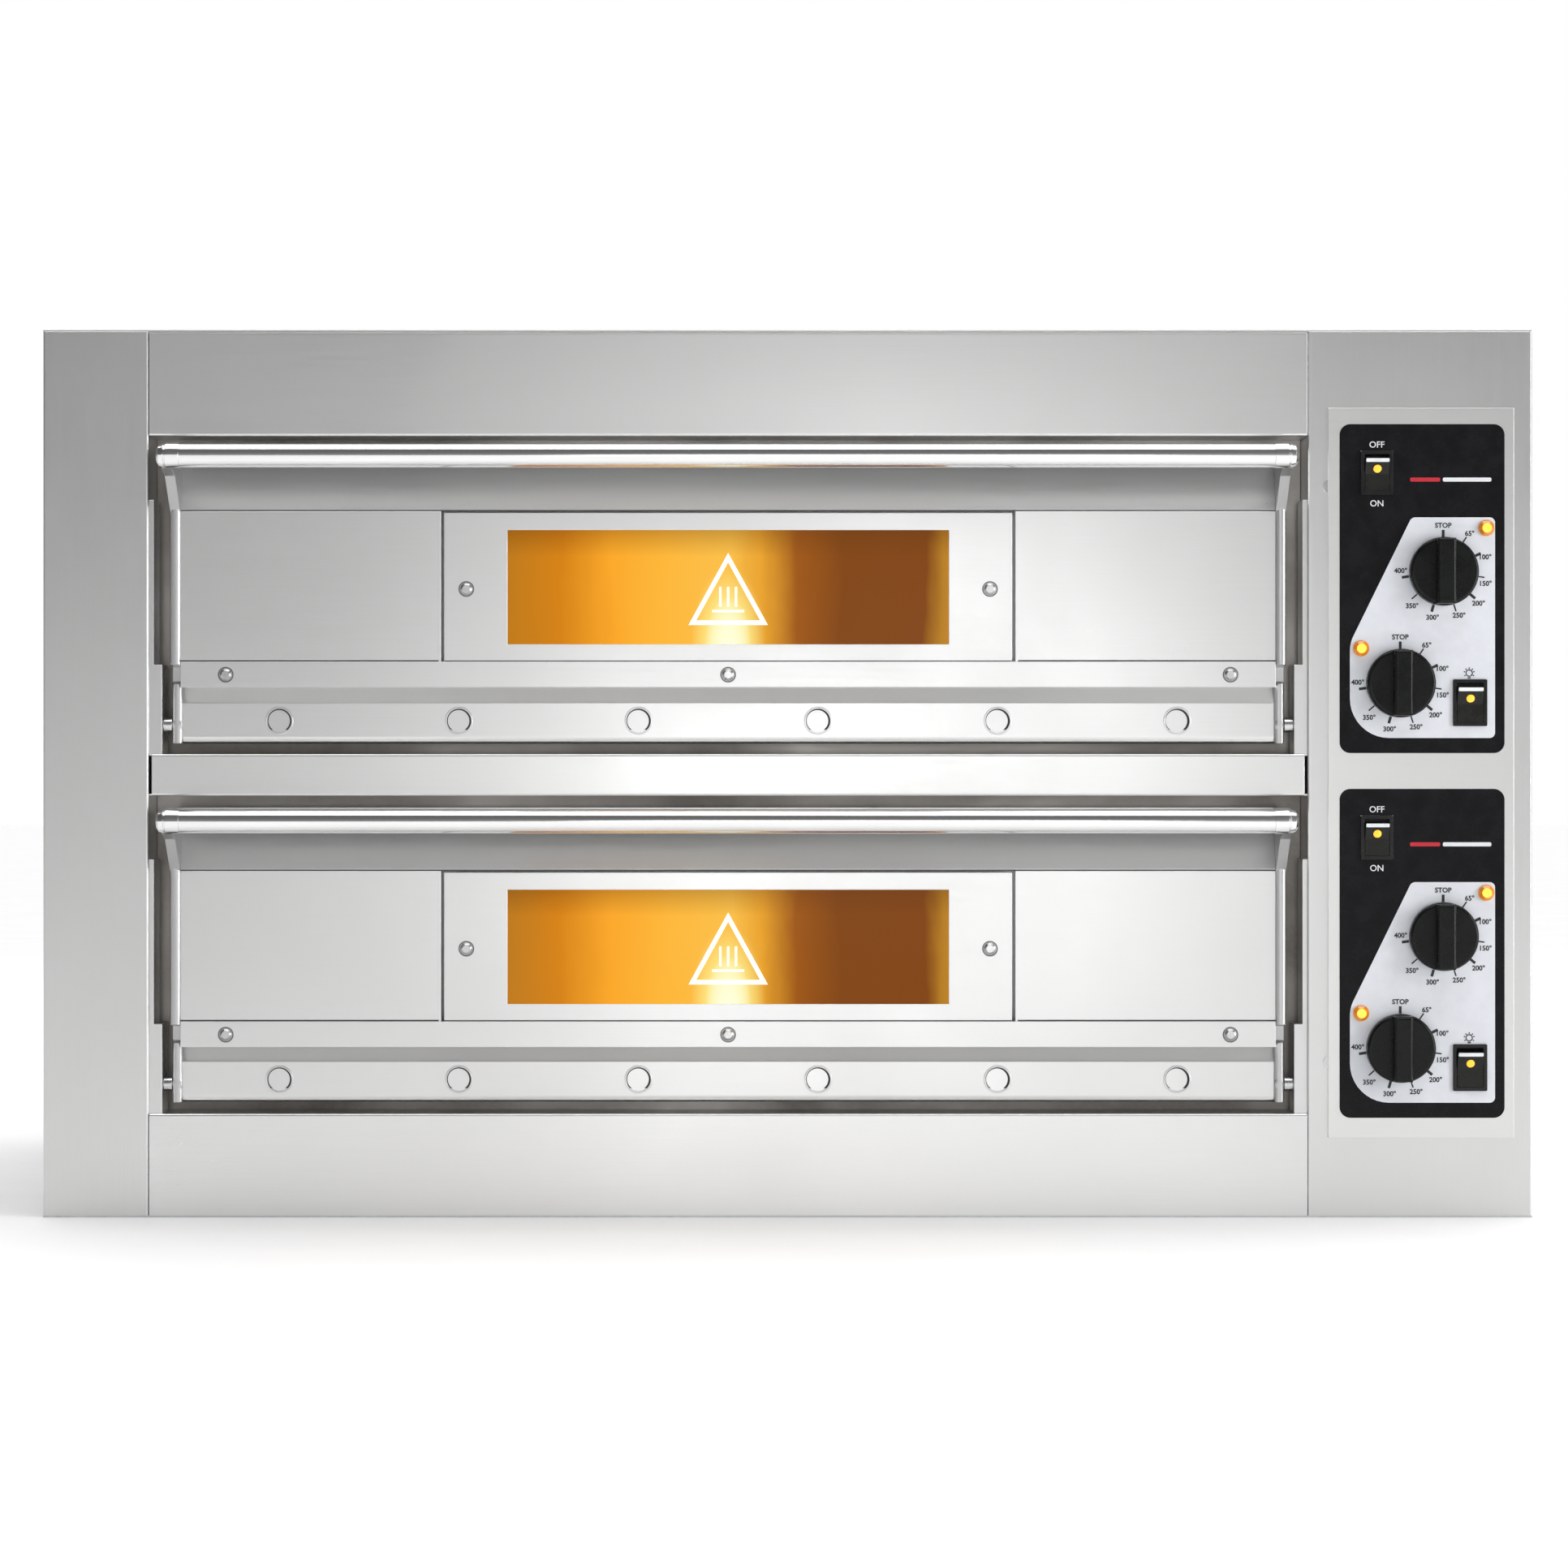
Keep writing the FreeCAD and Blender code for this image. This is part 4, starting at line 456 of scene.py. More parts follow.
def painted_glow_pane(name, low, high):
    """Coated glass with a painted glow from behind and a painted shade along its top, between two corners of its
    window.
    """
    pane = Finish(name)
    split = pane.tree.nodes.new("ShaderNodeSeparateXYZ")
    pane.link(pane.coords.outputs["Object"], split.inputs["Vector"])
    ripple = pane.noise((26, 26, 9), detail=3.0)
    along = pane.span(split.outputs["X"], 0, 1, low.x, high.x)
    along = pane.math("ADD", along, pane.span(ripple, -0.012, 0.012))
    ramp = pane.tree.nodes.new("ShaderNodeValToRGB")
    stops = ramp.color_ramp.elements
    for index, (place, colour) in enumerate(GLOW_STOPS):
        stop = stops[index] if index < 2 else stops.new(place)
        stop.position = place
        stop.color = (*colour, 1)
    pane.link(along, ramp.inputs["Fac"])

    lamp_x = (low.x + high.x) / 2
    sideways = pane.math("MULTIPLY", pane.math("SUBTRACT", split.outputs["X"], lamp_x), 1 / SPOT_WIDE)
    upward = pane.math("MULTIPLY", pane.math("SUBTRACT", split.outputs["Z"], low.z), 1 / SPOT_TALL)
    away = pane.math("ADD", pane.math("POWER", sideways, 2.0), pane.math("POWER", upward, 2.0))
    spot = pane.span(away, 1.0, 0.0, 0.0, 1.15)
    # Painted glow: a hot spot and a white core where the lamp stands behind the pane.
    hot = pane.blend(pane.math("POWER", spot, 1.3), ramp.outputs["Color"], (1.0, 0.93, 0.30))
    core = pane.span(away, 1.0, 0.0, 0.0, 0.42)
    hot = pane.blend(core, hot, (1.0, 1.0, 0.72))
    # Painted shade: the top of the pane darkens under the lamp's shade.
    top = pane.span(split.outputs["Z"], 0.0, 0.5, high.z - SHADE_TALL, high.z)
    hot = pane.blend(pane.math("MULTIPLY", top, 0.9), hot, (0.12, 0.030, 0.0))
    pane.to("Emission Color", hot)
    wipe = pane.noise((7, 7, 3), detail=4.0, distort=0.5)
    pane.to("Roughness", pane.span(wipe, 0.10, 0.22))
    return pane.put(Base_Color=(0.03, 0.012, 0.002, 1), Transmission_Weight=0.1, IOR=1.45,
                    Specular_IOR_Level=0.03, Emission_Strength=0.97)


window_low, window_high = {}, {}
for deck in DECKS:
    glass_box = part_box(f"{deck}_window_glass")
    middle = (glass_box[0] + glass_box[1]) / 2
    window_low[deck] = Vector((middle.x - PANE_HALF, glass_box[0].y, middle.z - PANE_TALL / 2))
    window_high[deck] = Vector((middle.x + PANE_HALF, glass_box[0].y, middle.z + PANE_TALL / 2))
    pane = painted_glow_pane(f"painted_glow_pane_{deck}", window_low[deck], window_high[deck])
    dress(pane, f"{deck}_window_glass")
    print(deck, "window", [round(v, 4) for v in window_low[deck]], [round(v, 4) for v in window_high[deck]])

# %% [markdown]
# ## Control mouldings
# The films are glossy polycarbonate printed black from behind, the knobs and rockers moulded nylon with a fine
# spark-eroded grain that has worn smooth where fingers grip, the bezels the same resin polished.

# %% Control mouldings
def moulded(name, colour, rough, grain, size=900):
    plastic = Finish(name)
    erosion = plastic.noise((size, size, size), detail=3.0)
    touched = plastic.noise((60, 60, 60), detail=2.0)
    plastic.to("Base Color", plastic.blend(plastic.span(touched, 0, 1), colour, tint(colour, 1.35)))
    plastic.to("Roughness", plastic.math("ADD", plastic.span(touched, rough - 0.05, rough + 0.07),
                                         plastic.span(erosion, -0.04, 0.04)))
    plastic.to("Normal", plastic.bump(erosion, grain, 0.0003, plastic.soft_edges(0.0005)))
    return plastic


film_finish = moulded("printed_black_film", (0.008, 0.008, 0.009), 0.25, 0.01)
film_finish.put(Specular_IOR_Level=0.10)
dress(film_finish, "control_films")
knob_finish = moulded("knob_nylon", (0.005, 0.0055, 0.0055), 0.27, 0.06)
knob_finish.put(Specular_IOR_Level=0.2)
rocker_finish = moulded("rocker_nylon", (0.010, 0.010, 0.009), 0.28, 0.06)
rocker_finish.put(Specular_IOR_Level=0.25)
bezel_finish = moulded("bezel_nylon", (0.010, 0.010, 0.010), 0.22, 0.03)
bezel_finish.put(Specular_IOR_Level=0.3)
dress(bezel_finish, "switch_housings")
gland_finish = moulded("gland_nylon", (0.02, 0.02, 0.02), 0.45, 0.15)
dress(gland_finish, "cable_gland")
block_finish = moulded("terminal_ceramic", (0.72, 0.69, 0.60), 0.5, 0.1)
dress(block_finish, "terminal_block")
for deck in DECKS:
    dress(knob_finish, f"{deck}_top_heat_knob", f"{deck}_bottom_heat_knob")
    dress(rocker_finish, f"{deck}_power_rocker", f"{deck}_light_rocker")
lens_finish = moulded("amber_lens", (0.62, 0.20, 0.01), 0.12, 0.02)
lens_finish.put(Emission_Color=(0.9, 0.26, 0.01, 1), Emission_Strength=0.08, Coat_Weight=0.6)
dress(lens_finish, "indicator_lamps")
print("mouldings ready")

# %% [markdown]
# ## Inks
# Everything printed is screen ink: thin, matt, a touch uneven where the squeegee left more of it.

# %% Inks
def ink(name, colour, rough=0.5):
    paint = Finish(name)
    patch = paint.noise((70, 70, 70), detail=3.0)
    pinholes = paint.noise((2600, 2600, 2600), detail=2.0)
    paint.to("Base Color", paint.blend(paint.span(patch, 0, 1), colour, tint(colour, 0.93)))
    paint.to("Roughness", paint.span(patch, rough - 0.06, rough + 0.06))
    paint.to("Normal", paint.bump(pinholes, 0.05, 0.0001))
    return paint


white_ink = ink("white_ink", (0.80, 0.81, 0.84), 0.4)
card_ink = ink("pale_card", (0.76, 0.78, 0.83), 0.35)
black_ink = ink("black_ink", (0.012, 0.012, 0.013), 0.45)
red_ink = ink("red_ink", (0.55, 0.012, 0.03), 0.45)
print("inks", [each.material.name for each in (white_ink, card_ink, black_ink, red_ink)])

# %% [markdown]
# ## Placing print on a face
# Print is drawn flat on the table, facing up, and then stood against its surface. The surface is found by
# shooting a ray at the CAD from the front; the hit gives the place and the way the face looks. The print is a
# tenth of a millimetre thick, so that it is a real shape and not a trick of shading.

# %% Placing helpers
INK_THICK = 0.00012
INK_LIFT = 0.00003


def front_face(node, across, height):
    """Where a ray from the front meets a node, and the face's outward normal."""
    hit, place, normal, _ = nodes[node].ray_cast(Vector((across, -1, height)), Vector((0, 1, 0)))
    if not hit:
        raise RuntimeError(f"nothing of {node} at {across}, {height}")
    return place, normal


def stand_on(piece, place, normal, lift=INK_LIFT):
    """Stands a piece drawn flat at the origin on a face: its up turns to the face's normal."""
    side = Vector((0, 0, 1)).cross(normal).normalized()
    turn = Matrix((side, normal.cross(side), normal)).transposed().to_4x4()
    piece.matrix_world = Matrix.Translation(place + normal * lift) @ turn
    return settle(piece)


def finish_piece(piece, name, finish, body, smooth=30):
    """Names, shades, dresses and rides a piece."""
    choose_only(piece)
    bpy.ops.object.mode_set(mode="EDIT")
    bpy.ops.mesh.select_all(action="SELECT")
    bpy.ops.mesh.remove_doubles(threshold=0.000001)
    bpy.ops.mesh.normals_make_consistent(inside=False)
    bpy.ops.object.mode_set(mode="OBJECT")
    bpy.ops.object.shade_smooth_by_angle(angle=math.radians(smooth))
    piece.name = piece.data.name = name
    piece.data.materials.clear()
    piece.data.materials.append(finish.material)
    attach(piece, body)
    return piece


def joined(parts):
    """Joins several meshes into the first."""
    choose_only(parts[0])
    for part in parts:
        part.select_set(True)
    bpy.ops.object.join()
    return bpy.context.object


def pick(piece, test):
    """Selects, in edit mode, the vertices that pass a test on their place."""
    bpy.ops.mesh.select_mode(type="VERT")
    bpy.ops.mesh.select_all(action="DESELECT")
    grid = bmesh.from_edit_mesh(piece.data)
    for vertex in grid.verts:
        vertex.select = bool(test(vertex.co))
    grid.select_flush(True)
    bmesh.update_edit_mesh(piece.data)


def bar(wide, tall, middle=(0, 0), thick=INK_THICK, round_by=0.0):
    """A thin flat bar with rounded corners."""
    choose_only(None)
    bpy.ops.mesh.primitive_plane_add(size=1, location=(0, 0, 0))
    piece = bpy.context.object
    bpy.ops.object.mode_set(mode="EDIT")
    bpy.ops.mesh.select_all(action="SELECT")
    bpy.ops.transform.resize(value=(wide, tall, 1))
    if round_by:
        bpy.ops.mesh.bevel(offset=round_by, segments=6, affect="VERTICES")
        bpy.ops.mesh.select_all(action="SELECT")
    bpy.ops.mesh.extrude_region_move(TRANSFORM_OT_translate={"value": (0, 0, thick)})
    bpy.ops.object.mode_set(mode="OBJECT")
    piece.location = (*middle, 0)
    return settle(piece)


def word(text, size, middle, bold=0.0):
    """A printed word, made a mesh at once."""
    choose_only(None)
    bpy.ops.object.text_add(location=(0, 0, 0))
    piece = bpy.context.object
    piece.data.body = text
    piece.data.size = size
    piece.data.align_x, piece.data.align_y = "CENTER", "CENTER"
    piece.data.extrude = INK_THICK / 2
    piece.data.offset = bold
    piece.data.resolution_u = 3
    bpy.ops.object.convert(target="MESH")
    piece = bpy.context.object
    piece.location = (*middle, INK_THICK / 2)
    return settle(piece)


def ring(radius, wide, middle=(0, 0), sides=40, thick=INK_THICK):
    """A flat ring: a filled circle, inset, its middle removed, then given thickness."""
    choose_only(None)
    bpy.ops.mesh.primitive_circle_add(vertices=sides, radius=radius, fill_type="NGON", location=(0, 0, 0))
    piece = bpy.context.object
    bpy.ops.object.mode_set(mode="EDIT")
    bpy.ops.mesh.select_all(action="SELECT")
    bpy.ops.mesh.inset(thickness=wide)
    bpy.ops.mesh.delete(type="FACE")
    bpy.ops.mesh.select_all(action="SELECT")
    bpy.ops.mesh.extrude_region_move(TRANSFORM_OT_translate={"value": (0, 0, thick)})
    bpy.ops.object.mode_set(mode="OBJECT")
    piece.location = (*middle, 0)
    return settle(piece)


def turned_copy(piece, degrees, middle):
    """A copy with its own mesh, turned about the up axis through the origin and moved to a middle."""
    twin = piece.copy()
    twin.data = piece.data.copy()
    bpy.context.scene.collection.objects.link(twin)
    twin.rotation_euler.z = -math.radians(degrees)
    twin.location = (*middle, 0)
    return settle(twin)


print("print", INK_THICK * 1000, "mm thick")

# %% [markdown]
# ## The pale card
# Each film is printed with a pale field that holds both dials. Its outline is a tall rectangle with the upper
# left corner cut off on a slant, a generous curve at the lower left and small ones elsewhere. It is drawn as a
# plane, the corner is bisected away, and each corner vertex is bevelled by its own radius. The switch and the two
# dial shafts pass through it, so it is pierced there.

# %% The pale card
FILM_TALL = 0.2759
films_low, films_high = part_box("control_films")
film_corner = {"upper": Vector((films_low.x, films_low.y, films_high.z - FILM_TALL)),
               "lower": films_low.copy()}
# The card's corners, from the film's lower left, and the radius of each.
CARD = ((0.0086, 0.0127), (0.1303, 0.0127), (0.1303, 0.1977), (0.0603, 0.1977), (0.0086, 0.0922))
CARD_RADII = (0.033, 0.0045, 0.0045, 0.003, 0.006)
# The rocker tips through its hole, so the hole is taller than the rocker at rest.
SHAFT_HOLE, GAP_WIDE, GAP_TALL = 0.006, 0.0030, 0.0058
CUTTER_DEEP, AT_CORNER = 0.004, 0.0005
FORWARD = Vector((0, -1, 0))


def on_film(deck, across, height):
    return film_corner[deck] + Vector((across, 0, height))


def from_film(deck, place):
    return place.x - film_corner[deck].x, place.z - film_corner[deck].z


def centre(node):
    low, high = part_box(node)
    return (low + high) / 2


def pierce(piece, cutter):
    """Cuts one piece by another and removes the cutter."""
    choose_only(piece)
    cut = piece.modifiers.new("pierce", "BOOLEAN")
    cut.operation = "DIFFERENCE"
    cut.solver = "EXACT"
    cut.object = cutter
    bpy.ops.object.modifier_apply(modifier=cut.name)
    bpy.data.objects.remove(cutter, do_unlink=True)


def block(wide, tall, middle):
    piece = bar(wide, tall, middle, thick=CUTTER_DEEP)
    piece.data.transform(Matrix.Translation((0, 0, -CUTTER_DEEP / 2)))
    return piece


def plug(radius, middle):
    choose_only(None)
    bpy.ops.mesh.primitive_cylinder_add(vertices=48, radius=radius, depth=CUTTER_DEEP, location=(*middle, 0))
    return settle(bpy.context.object)


for deck in DECKS:
    (left, low), (right, top) = CARD[0], CARD[2]
    choose_only(None)
    bpy.ops.mesh.primitive_plane_add(size=1, location=(0, 0, 0))
    card = bpy.context.object
    bpy.ops.object.mode_set(mode="EDIT")
    bpy.ops.mesh.select_all(action="SELECT")
    bpy.ops.transform.resize(value=(right - left, top - low, 1))
    bpy.ops.transform.translate(value=((left + right) / 2, (low + top) / 2, 0))
    slant = Vector((CARD[3][0] - CARD[4][0], CARD[3][1] - CARD[4][1], 0))
    bpy.ops.mesh.select_all(action="SELECT")
    bpy.ops.mesh.bisect(plane_co=(*CARD[3], 0), plane_no=(-slant.y, slant.x, 0), clear_outer=True)
    for corner, radius in zip(CARD, CARD_RADII):
        pick(card, lambda co: (co.xy - Vector(corner)).length < AT_CORNER)
        bpy.ops.mesh.bevel(offset=radius, segments=10, affect="VERTICES")
    bpy.ops.mesh.select_all(action="SELECT")
    bpy.ops.mesh.extrude_region_move(TRANSFORM_OT_translate={"value": (0, 0, INK_THICK)})
    bpy.ops.mesh.normals_make_consistent(inside=False)
    bpy.ops.object.mode_set(mode="OBJECT")
    for knob in ("top_heat_knob", "bottom_heat_knob"):
        pierce(card, plug(SHAFT_HOLE, from_film(deck, centre(f"{deck}_{knob}"))))
    rocker_low, rocker_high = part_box(f"{deck}_light_rocker")
    pierce(card, block(rocker_high.x - rocker_low.x + GAP_WIDE, rocker_high.z - rocker_low.z + GAP_TALL,
                       from_film(deck, centre(f"{deck}_light_rocker"))))
    stand_on(card, film_corner[deck], FORWARD)
    finish_piece(card, f"{deck}_dial_card", card_ink, "casing")
    print(card.name, [round(v * 1000, 1) for v in card.dimensions])

# %% [markdown]
# ## Dial marks
# Round each dial stand nine marks, a thick one and a thin one in turn, and outside them STOP and the degrees.
# One mark of each width is drawn pointing up and copied round the dial; the words are set upright at a larger
# radius, so that they read without turning the head.

# %% Dial marks
# Each mark: its own angle, its word, and the angle and radius at which the word stands.
DIAL = ((0, "STOP", 0, 0.0386), (34, "65\u00b0", 35, 0.0388), (64, "100\u00b0", 71, 0.0372),
        (98, "150\u00b0", 106, 0.0368), (130, "200\u00b0", 132, 0.0400), (162, "250\u00b0", 160, 0.0392),
        (196, "300\u00b0", 193, 0.0396), (229, "350\u00b0", 222, 0.0389), (262, "400\u00b0", 271, 0.0356))
MARK_IN, MARK_OUT, MARK_WIDE, MARK_NARROW = 0.0290, 0.0350, 0.0023, 0.0012
WORD_SIZE, WORD_BOLD = 0.0058, 0.00018
for deck in DECKS:
    for knob in ("top_heat_knob", "bottom_heat_knob"):
        middle = from_film(deck, centre(f"{deck}_{knob}"))
        parts = []
        for index, (angle, text, word_angle, word_radius) in enumerate(DIAL):
            wide = MARK_WIDE if index % 2 == 0 else MARK_NARROW
            tick = bar(wide, MARK_OUT - MARK_IN, (0, (MARK_IN + MARK_OUT) / 2))
            parts.append(turned_copy(tick, angle, middle))
            bpy.data.objects.remove(tick, do_unlink=True)
            lean = math.radians(word_angle)
            place = (middle[0] + word_radius * math.sin(lean), middle[1] + word_radius * math.cos(lean))
            parts.append(word(text, WORD_SIZE, place, WORD_BOLD))
        marks = joined(parts)
        stand_on(marks, on_film(deck, 0, 0), FORWARD, INK_LIFT + INK_THICK)
        finish_piece(marks, f"{deck}_{knob}_marks", black_ink, "casing")
        print(marks.name, len(marks.data.polygons), "faces")

# %% [markdown]
# ## Switch print
# OFF and ON stand above and below the power switch, with a fine line over its bezel; a small lamp sign stands
# over the light switch. Where a maker would print its name there is a plain two-tone rule.

# %% Switch print
RULE_HEIGHT, RULE_TALL = 0.2294, 0.0034
RULE_LEFT, RULE_SPLIT, RULE_RIGHT, RULE_GAP, RULE_ROUND = 0.0590, 0.0865, 0.1272, 0.0022, 0.0012
SWITCH_WORD, SWITCH_BOLD, OFF_UP, ON_DOWN = 0.0074, 0.00006, 0.0247, 0.0246
BULB_RADIUS, BULB_LINE, RAY_OUT = 0.0031, 0.0009, 0.0041
RAY_ANGLES = (-120, -75, -40, 0, 40, 75, 120)
for deck in DECKS:
    across, height = from_film(deck, centre(f"{deck}_power_rocker"))
    parts = [word("OFF", SWITCH_WORD, (across, height + OFF_UP), SWITCH_BOLD),
             word("ON", SWITCH_WORD, (across, height - ON_DOWN), SWITCH_BOLD),
             bar(0.0270, 0.0008, (across, height + 0.0194)),
             bar(RULE_RIGHT - RULE_SPLIT, RULE_TALL, ((RULE_RIGHT + RULE_SPLIT) / 2, RULE_HEIGHT),
                 round_by=RULE_ROUND)]
    white_print = joined(parts)
    stand_on(white_print, film_corner[deck], FORWARD)
    finish_piece(white_print, f"{deck}_switch_words", white_ink, "casing")
    rule = bar(RULE_SPLIT - RULE_GAP - RULE_LEFT, RULE_TALL,
               ((RULE_LEFT + RULE_SPLIT - RULE_GAP) / 2, RULE_HEIGHT), round_by=RULE_ROUND)
    stand_on(rule, film_corner[deck], FORWARD)
    finish_piece(rule, f"{deck}_red_rule", red_ink, "casing")

    across, height = from_film(deck, centre(f"{deck}_light_rocker"))
    bulb = (across - 0.0006, height + 0.0262)
    parts = [ring(BULB_RADIUS, BULB_LINE, bulb, sides=24), bar(0.0026, 0.0011, (bulb[0], bulb[1] - 0.0040))]
    ray = bar(0.0009, 0.0013, (0, RAY_OUT))
    parts += [turned_copy(ray, angle, bulb) for angle in RAY_ANGLES]
    bpy.data.objects.remove(ray, do_unlink=True)
    sign = joined(parts)
    stand_on(sign, film_corner[deck], FORWARD, INK_LIFT + INK_THICK)
    finish_piece(sign, f"{deck}_lamp_sign", black_ink, "casing")
print("switch print done")

# %% [markdown]
# ## Rocker inserts
# Each rocker has a pale translucent bar moulded into its top edge and a round amber lens that the lamp inside
# lights. The lens is a filled circle, pulled up and inset three times with a little less rise each time, which
# crowns it; the bar is a plate with bevelled edges. Both are set square to the rocker's own sloping face.

# %% Rocker inserts
# Each step inward as a share of the radius, and its rise as a share of the whole.
CROWN = ((0.16, 0.30), (0.24, 0.18), (0.26, 0.09), (0.2, 0.03))
LENS_RADIUS, LENS_RISE, LENS_DOWN = 0.0034, 0.0009, 0.34
GUIDE_SHARE, GUIDE_TALL, GUIDE_THICK, GUIDE_DOWN = 0.86, 0.0032, 0.0007, 0.085


def crowned_lens(radius, rise):
    """A filled circle raised to a low crown."""
    choose_only(None)
    bpy.ops.mesh.primitive_circle_add(vertices=32, radius=radius, fill_type="NGON", location=(0, 0, 0))
    piece = bpy.context.object
    bpy.ops.object.mode_set(mode="EDIT")
    bpy.ops.mesh.select_all(action="SELECT")
    bpy.ops.mesh.extrude_region_move(TRANSFORM_OT_translate={"value": (0, 0, rise * 0.4)})
    for step, lift in CROWN:
        bpy.ops.mesh.inset(thickness=radius * step, depth=rise * lift)
    bpy.ops.object.mode_set(mode="OBJECT")
    return piece


glow_finish = moulded("lit_amber_lens", (1.0, 0.42, 0.03), 0.15, 0.02)
glow_finish.put(Emission_Color=(1.0, 0.36, 0.015, 1), Emission_Strength=0.9)
pale_finish = moulded("pale_light_guide", (0.72, 0.74, 0.78), 0.3, 0.05)
for deck in DECKS:
    for rocker in ("power_rocker", "light_rocker"):
        low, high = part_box(f"{deck}_{rocker}")
        across, tall, wide = (low.x + high.x) / 2, high.z - low.z, high.x - low.x
        place, normal = front_face(f"{deck}_{rocker}", across, high.z - LENS_DOWN * tall)
        lens = crowned_lens(LENS_RADIUS, LENS_RISE)
        stand_on(lens, place, normal, -0.0001)
        finish_piece(lens, f"{deck}_{rocker}_lens", glow_finish, f"{deck}_{rocker}_body")
        place, normal = front_face(f"{deck}_{rocker}", across, high.z - GUIDE_DOWN * tall)
        guide = bar(wide * GUIDE_SHARE, GUIDE_TALL, thick=GUIDE_THICK, round_by=0.0008)
        stand_on(guide, place, normal, -0.0003)
        finish_piece(guide, f"{deck}_{rocker}_light_guide", pale_finish, f"{deck}_{rocker}_body")
        print(lens.name, [round(v * 1000, 1) for v in place], [round(v, 2) for v in normal])

# %% [markdown]
# ## Indicator cores
# A neon indicator shows a bright yellow core inside its darker amber lens. The core is the same crowned shape,
# smaller, standing a hair proud of the lens's face.

# %% Indicator cores
LAMP_SPOTS = ((0.1229, 0.1887), (0.0179, 0.0877))
CORE_RADIUS, CORE_RISE = 0.0040, 0.0008
core_finish = moulded("neon_core", (1.0, 0.66, 0.08), 0.2, 0.02)
core_finish.put(Emission_Color=(1.0, 0.50, 0.03, 1), Emission_Strength=0.6)
for deck in DECKS:
    for number, (across, height) in enumerate(LAMP_SPOTS):
        spot = on_film(deck, across, height)
        place, normal = front_face("indicator_lamps", spot.x, spot.z)
        core = crowned_lens(CORE_RADIUS, CORE_RISE)
        stand_on(core, place, FORWARD, -0.0002)
        finish_piece(core, f"{deck}_indicator_core_{number}", core_finish, "casing")
print("cores at", [round(v, 4) for v in place])

# %% [markdown]
# ## Vent baffles
# Behind each door's row of round vents runs a folded baffle that lets cooling air up and hides the cavity, so
# the vents look filled with the same bright steel. It is one sheet: a plane stood on edge, its top edge pulled
# back and down into a flange, then given thickness.

# %% Vent baffles
SKIRT_UP, SKIRT_BACK = 0.009, 0.012


def door_foot(deck):
    """The skirt's two corners and the height of the opening's floor under it."""
    low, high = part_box(f"{deck}_vented_skirt")
    return low, high, low.z - SKIRT_UP


BAFFLE_LOW, BAFFLE_HIGH, BAFFLE_GAP, BAFFLE_IN, FLANGE = 0.016, 0.041, 0.0009, 0.015, 0.005
for deck in DECKS:
    skirt_low, skirt_high, floor_z = door_foot(deck)
    sheet_y = FRONT_Y + SKIRT_BACK + BAFFLE_GAP
    wide = skirt_high.x - skirt_low.x - 2 * BAFFLE_IN
    choose_only(None)
    bpy.ops.mesh.primitive_plane_add(size=1, location=(0, 0, 0), rotation=(math.pi / 2, 0, 0))
    baffle = bpy.context.object
    baffle.scale = (wide, BAFFLE_HIGH - BAFFLE_LOW, 1)
    baffle.location = ((skirt_low.x + skirt_high.x) / 2, sheet_y, floor_z + (BAFFLE_LOW + BAFFLE_HIGH) / 2)
    settle(baffle)
    bpy.ops.object.mode_set(mode="EDIT")
    bpy.ops.mesh.select_mode(type="EDGE")
    bpy.ops.mesh.select_all(action="DESELECT")
    grid = bmesh.from_edit_mesh(baffle.data)
    for edge in grid.edges:
        edge.select = all(vertex.co.z > floor_z + BAFFLE_HIGH - 0.0001 for vertex in edge.verts)
    bmesh.update_edit_mesh(baffle.data)
    bpy.ops.mesh.extrude_region_move(TRANSFORM_OT_translate={"value": (0, FLANGE, -0.003)})
    bpy.ops.object.mode_set(mode="OBJECT")
    for kind, settings in (("SOLIDIFY", {"thickness": 0.0008, "offset": 1.0}),
                           ("BEVEL", {"width": 0.0003, "segments": 2})):
        change = baffle.modifiers.new(kind, kind)
        for key, value in settings.items():
            setattr(change, key, value)
        bpy.ops.object.modifier_apply(modifier=change.name)
    finish_piece(baffle, f"{deck}_vent_baffle", across_steel, f"{deck}_door", smooth=8)
    print(baffle.name, [round(v * 1000, 1) for v in baffle.dimensions])

# %% [markdown]
# ## Vent shadow rings
# A dark ring sits between the skirt and the baffle at each vent: painted shadow round the rim of the hole. It is
# a touch off centre, so from the front it draws a dark crescent round the bright disc. The six of a door are one
# ring, drawn once and copied along.

# %% Vent shadow rings
SHADOW_RING_OUT, SHADOW_RING_WIDE, SHADOW_RING_SHIFT, SHADOW_RING_THICK = 0.0108, 0.0017, -0.0005, 0.0005
VENTS, VENT_UP, VENT_MARGIN, SHADOW_RING_BACK = 6, 0.028, 0.0815, 0.0127
# Painted shadow: a near-black ring behind each vent stands in for the shade round the hole.
vent_shadow_finish = moulded("painted_vent_shadow", (0.05, 0.05, 0.05), 0.6, 0.1)
for deck in DECKS:
    skirt_low, skirt_high, floor_z = door_foot(deck)
    first, last = skirt_low.x + VENT_MARGIN, skirt_high.x - VENT_MARGIN
    shadow_rings = []
    for number in range(VENTS):
        across = first + (last - first) * number / (VENTS - 1) + SHADOW_RING_SHIFT
        shadow_ring = ring(SHADOW_RING_OUT, SHADOW_RING_WIDE, sides=48, thick=SHADOW_RING_THICK)
        place = Vector((across, FRONT_Y + SHADOW_RING_BACK, floor_z + VENT_UP))
        shadow_rings.append(stand_on(shadow_ring, place, FORWARD))
    shadow_rings = finish_piece(joined(shadow_rings), f"{deck}_vent_shadow_rings", vent_shadow_finish, f"{deck}_door")
    print(shadow_rings.name, [round(v * 1000, 1) for v in shadow_rings.dimensions])
